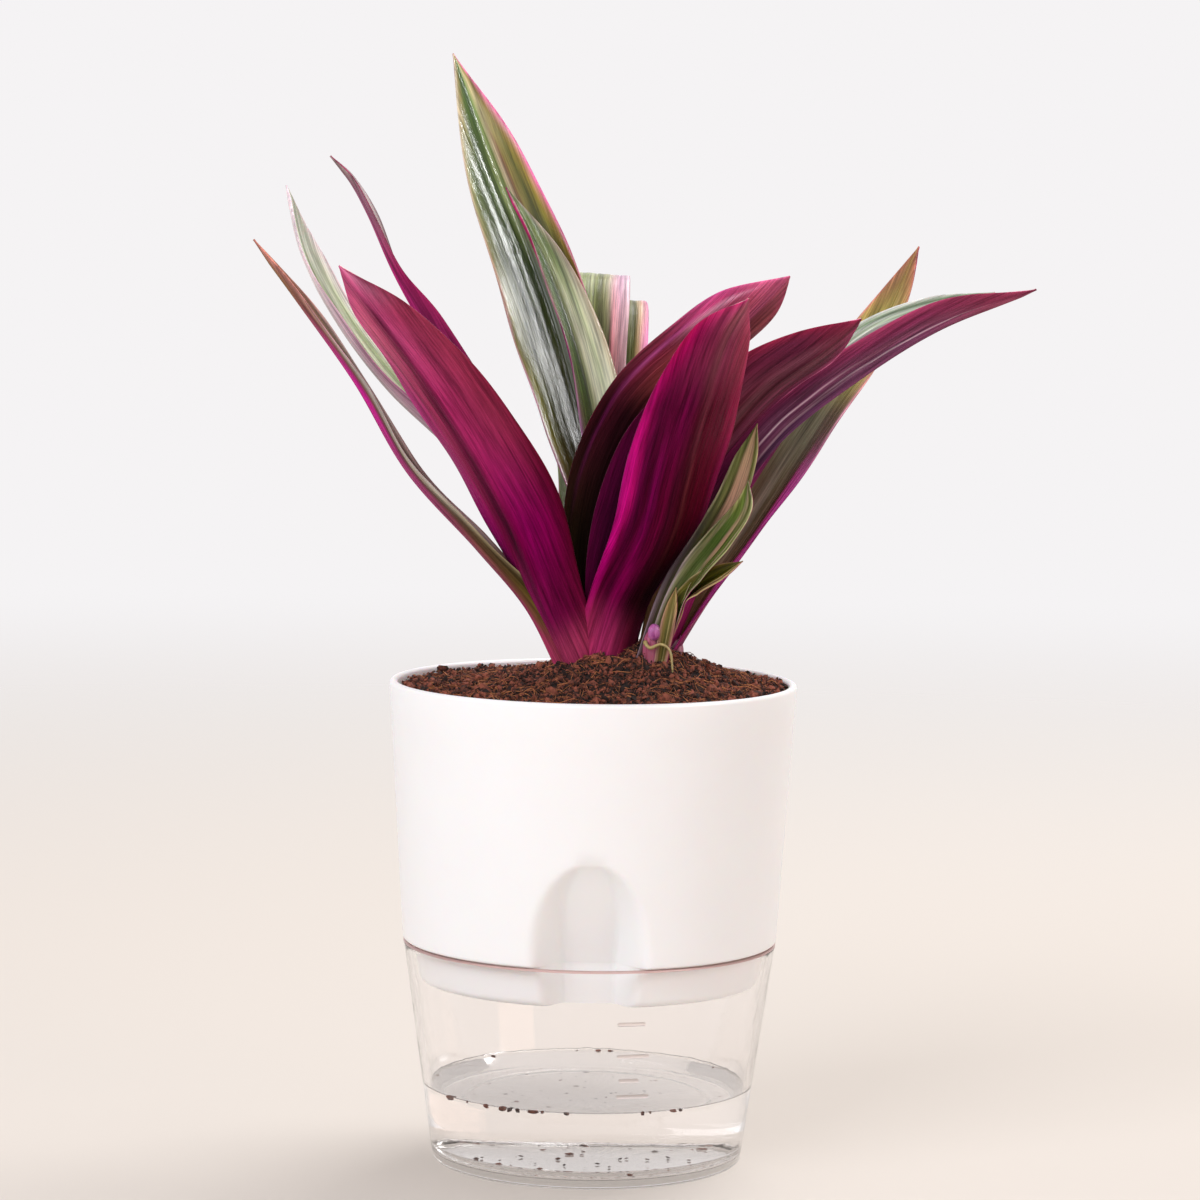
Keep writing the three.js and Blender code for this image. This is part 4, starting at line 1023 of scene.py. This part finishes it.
def leaf_finish(name, seed):
    look = LOOKS.get(name, {})
    gloss = look.get("gloss", 1.0)
    relief = look.get("relief", RELIEF * gloss)
    finish = Finish("look_" + name, Subsurface_Weight=0.12, Subsurface_Scale=0.0015)
    finish.shader.inputs["Subsurface Radius"].default_value = (1.0, 0.35, 0.4)
    span, run, face = (finish.attribute(key) for key in ("span", "run", "face"))
    lines = finish.streaks(span, run, 0.9, 0.03, seed)
    fine = finish.streaks(span, run, 2.6, 0.07, seed)
    streaks = finish.plus(finish.times(lines, 0.5), finish.times(fine, 0.5))
    finish.set("Base Color", leaf_colour(finish, look, span, run, streaks, seed))
    specular = finish.span(face, 0.4, 0.6, UNDER_SPECULAR, UPPER_SPECULAR * gloss)
    finish.set("Specular IOR Level", specular)
    rough = finish.span(streaks, 0.35, 0.65, 0.2 - 0.07 * gloss, 0.38 - 0.12 * gloss, False)
    finish.set("Roughness", finish.plus(rough, finish.span(face, 0.4, 0.6, UNDER_ROUGHER, 0.0)))
    grain = finish.streaks(span, run, 4.0, 1.6, detail=3, roughness=0.55)
    skin = finish.cells(finish.vector(finish.times(span, 3.2), finish.times(run, 1.5)), 1.0)
    normal = finish.bump(streaks, relief, 0.8)
    normal = finish.bump(grain, GRAIN * relief, 0.6, normal)
    finish.set("Normal", finish.bump(skin, SKIN * relief, 0.5, normal))
    return finish.material


# ---- stems, bud and root ----
SOIL_BLUSH = (119.0, 131.0)  # heights between which a stem's foot changes colour
STEM_RINGS, STEM_AROUND, FLUTES, FLUTE = 40, 48, 9, 0.03
BUD_LONG, BUD_SEAM = (0.9, 0.9, 1.15), 0.1
ROOT_THINNING, ROOT_RINGS, ROOT_SIDES = 0.55, 60, 14


def sheath_finish(name, light, dark):
    """Streaks drawn out upwards, browner where the stem leaves the soil."""
    finish = Finish(name, 0.42, Subsurface_Weight=0.15, Subsurface_Scale=0.002)
    split = finish.add("ShaderNodeSeparateXYZ")
    finish.put(split.inputs[0], finish.place())
    x, y, z = split.outputs
    drawn = finish.vector(finish.times(x, 1.3), finish.times(y, 1.3), finish.times(z, 0.12))
    streak = finish.noise(drawn, 1.0, 4, 0.6)
    blush = finish.mix(finish.span(streak, 0.3, 0.7), linear(light), linear(dark))
    finish.set("Base Color", finish.mix(finish.span(z, *SOIL_BLUSH), linear("7a4438"), blush))
    finish.set("Normal", finish.bump(streak, 0.4, 0.6))
    return finish.material


def make_stem(name):
    x, y, profile = STEMS[name]
    line = through(np.array(profile, float), np.linspace(0, 1, STEM_RINGS), False)
    turn = np.linspace(0, 2 * math.pi, STEM_AROUND, endpoint=False)
    radius = line[:, :1] * (1 + FLUTE * np.cos(FLUTES * turn))
    rings = np.stack([x + radius * np.cos(turn), y + radius * np.sin(turn),
                      np.broadcast_to(line[:, 1:2], radius.shape)], -1)
    points, faces = capped(rings)
    finish = sheath_finish("look_" + name, "cc6684", "9a3460")
    add_piece(name + "_stem", points, faces, finish, [name])


def make_bud():
    """A round bud with three seams."""
    x, y, z, radius = BUD
    shape, faces = ball(4)
    points = shape * BUD_LONG * radius
    angle = np.arctan2(shape[:, 1], shape[:, 0])
    seam = np.exp(-(np.sin(1.5 * angle + 0.6) / 0.18) ** 2) * (1 - shape[:, 2] ** 2)
    points[:, :2] *= (1 - BUD_SEAM * seam)[:, None]
    finish = sheath_finish("look_bud", "d078b8", "8c3078")
    add_piece("bud_round", points + [x, y, z], faces.tolist(), finish, ["bud"])


def make_root():
    t = np.linspace(0, 1, ROOT_RINGS)
    path = through(np.array(ROOT, float), t, True)
    radii = ROOT_R * (1 - ROOT_THINNING * t) * (1 + 0.08 * np.sin(31 * t))
    points, faces = capped(tube(path, radii, ROOT_SIDES))
    finish = Finish("look_root", 0.5, Subsurface_Weight=0.1, Subsurface_Scale=0.001)
    at = finish.place()
    finish.set("Base Color", finish.mix(finish.noise(at, 1.2, 3), linear("8a7040"), linear("c8b878")))
    finish.set("Normal", finish.bump(finish.noise(at, 4.0, 3), 0.1, 0.6))
    add_piece("root_curl", points, faces, finish.material)


# ---- camera, light and floor ----
CAMERA_Y, CAMERA_Z = -1078.0, 243.0
PITCH, YAW, ROLL = 5.53, 0.07, -0.9  # degrees
FOCAL_PX, IMAGE_PX, SENSOR = 4417.0, 1200.0, 36.0
# Lamps, in metres: place, what they aim at, size, watts and colour.
LAMPS = {
    "key": ((-0.95, -1.3, 1.1), (0, 0, 0.14), (1.2, 1.2), 18, "f6f9ff"),
    "fill": ((1.4, -1.0, 0.5), (0, 0, 0.1), (0.9, 0.9), 3.0, "ffd4b8"),
    "top": ((0.45, 0.55, 1.3), (0, 0, 0.15), (0.9, 0.6), 12, "ffffff"),
    "shine": ((1.13, -0.52, 1.12), (-0.02, 0.02, 0.2), (0.4, 0.2), 20, "ffffff"),
}
WORLD_GLOW = 0.73  # the backdrop's share of light on diffuse faces
FLOOR_R, FLOOR_FADE = 2.4, (0.25, 1.5)  # metres


def make_camera():
    pitch, yaw, roll = (math.radians(v) for v in (PITCH, YAW, ROLL))
    level = math.cos(pitch)
    ahead = Vector((math.sin(yaw) * level, math.cos(yaw) * level, -math.sin(pitch)))
    right = Vector((math.cos(yaw), -math.sin(yaw), 0))
    up = right.cross(ahead)
    leaning_right = right * math.cos(roll) - up * math.sin(roll)
    leaning_up = right * math.sin(roll) + up * math.cos(roll)
    camera = new_object("camera", bpy.data.cameras.new("camera"))
    camera.data.sensor_width = SENSOR
    camera.data.lens = FOCAL_PX / IMAGE_PX * SENSOR
    camera.data.clip_start, camera.data.clip_end = 0.05, 50
    turn = Matrix((leaning_right, leaning_up, -ahead)).transposed()
    camera.matrix_world = Matrix.Translation((0, CAMERA_Y * MM, CAMERA_Z * MM)) @ turn.to_4x4()
    bpy.context.scene.camera = camera


def softbox(name, place, aim, size, watts, tint):
    light = bpy.data.lights.new(name, "AREA")
    light.shape = "RECTANGLE"
    light.size, light.size_y = size
    light.energy = watts
    light.color = linear(tint)[:3]
    lamp = new_object(name, light)
    lamp.location = place
    lamp.visible_camera = False
    lamp.rotation_euler = (Vector(aim) - Vector(place)).to_track_quat("-Z", "Y").to_euler()


def make_light():
    for name, settings in LAMPS.items():
        softbox(name, *settings)
    bpy.data.objects["shine"].visible_diffuse = False  # only glossy faces see it
    world = bpy.data.worlds.new("studio")
    world.use_nodes = True
    tree = world.node_tree
    shade = tree.nodes["Background"]
    shade.inputs["Color"].default_value = linear("f5f3f4")
    path = tree.nodes.new("ShaderNodeLightPath")
    level = tree.nodes.new("ShaderNodeMapRange")
    tree.links.new(path.outputs["Is Diffuse Ray"], level.inputs["Value"])
    level.inputs["To Min"].default_value = 1.0
    level.inputs["To Max"].default_value = WORLD_GLOW
    tree.links.new(level.outputs[0], shade.inputs["Strength"])
    bpy.context.scene.world = world
    bpy.context.scene.view_settings.view_transform = "Standard"


def make_floor():
    """A plain pale disc that fades into the backdrop."""
    work = bmesh.new()
    bmesh.ops.create_circle(work, cap_ends=True, segments=96, radius=FLOOR_R)
    mesh = bpy.data.meshes.new("floor")
    work.to_mesh(mesh)
    work.free()
    floor = new_object("floor", mesh)
    finish = Finish("floor", 0.8, Specular_IOR_Level=0.0)
    finish.shader.inputs["Base Color"].default_value = linear("d6cec6")
    away = finish.add("ShaderNodeVectorMath", operation="LENGTH")
    finish.put(away.inputs[0], finish.add("ShaderNodeTexCoord").outputs["Object"])
    finish.set("Alpha", finish.span(away.outputs["Value"], *FLOOR_FADE, 1.0, 0.0))
    mesh.materials.append(finish.material)


make_camera()
make_light()
make_floor()
make_pot()
make_cup()
make_water()
make_soil(np.random.default_rng(11))
make_crumbs(np.random.default_rng(12))
make_fibres(np.random.default_rng(13))
make_floating(np.random.default_rng(14))
for crown in STEMS:
    make_stem(crown)
make_bud()
make_root()
for number, leaf in enumerate(LEAVES):
    make_leaf(leaf, number)
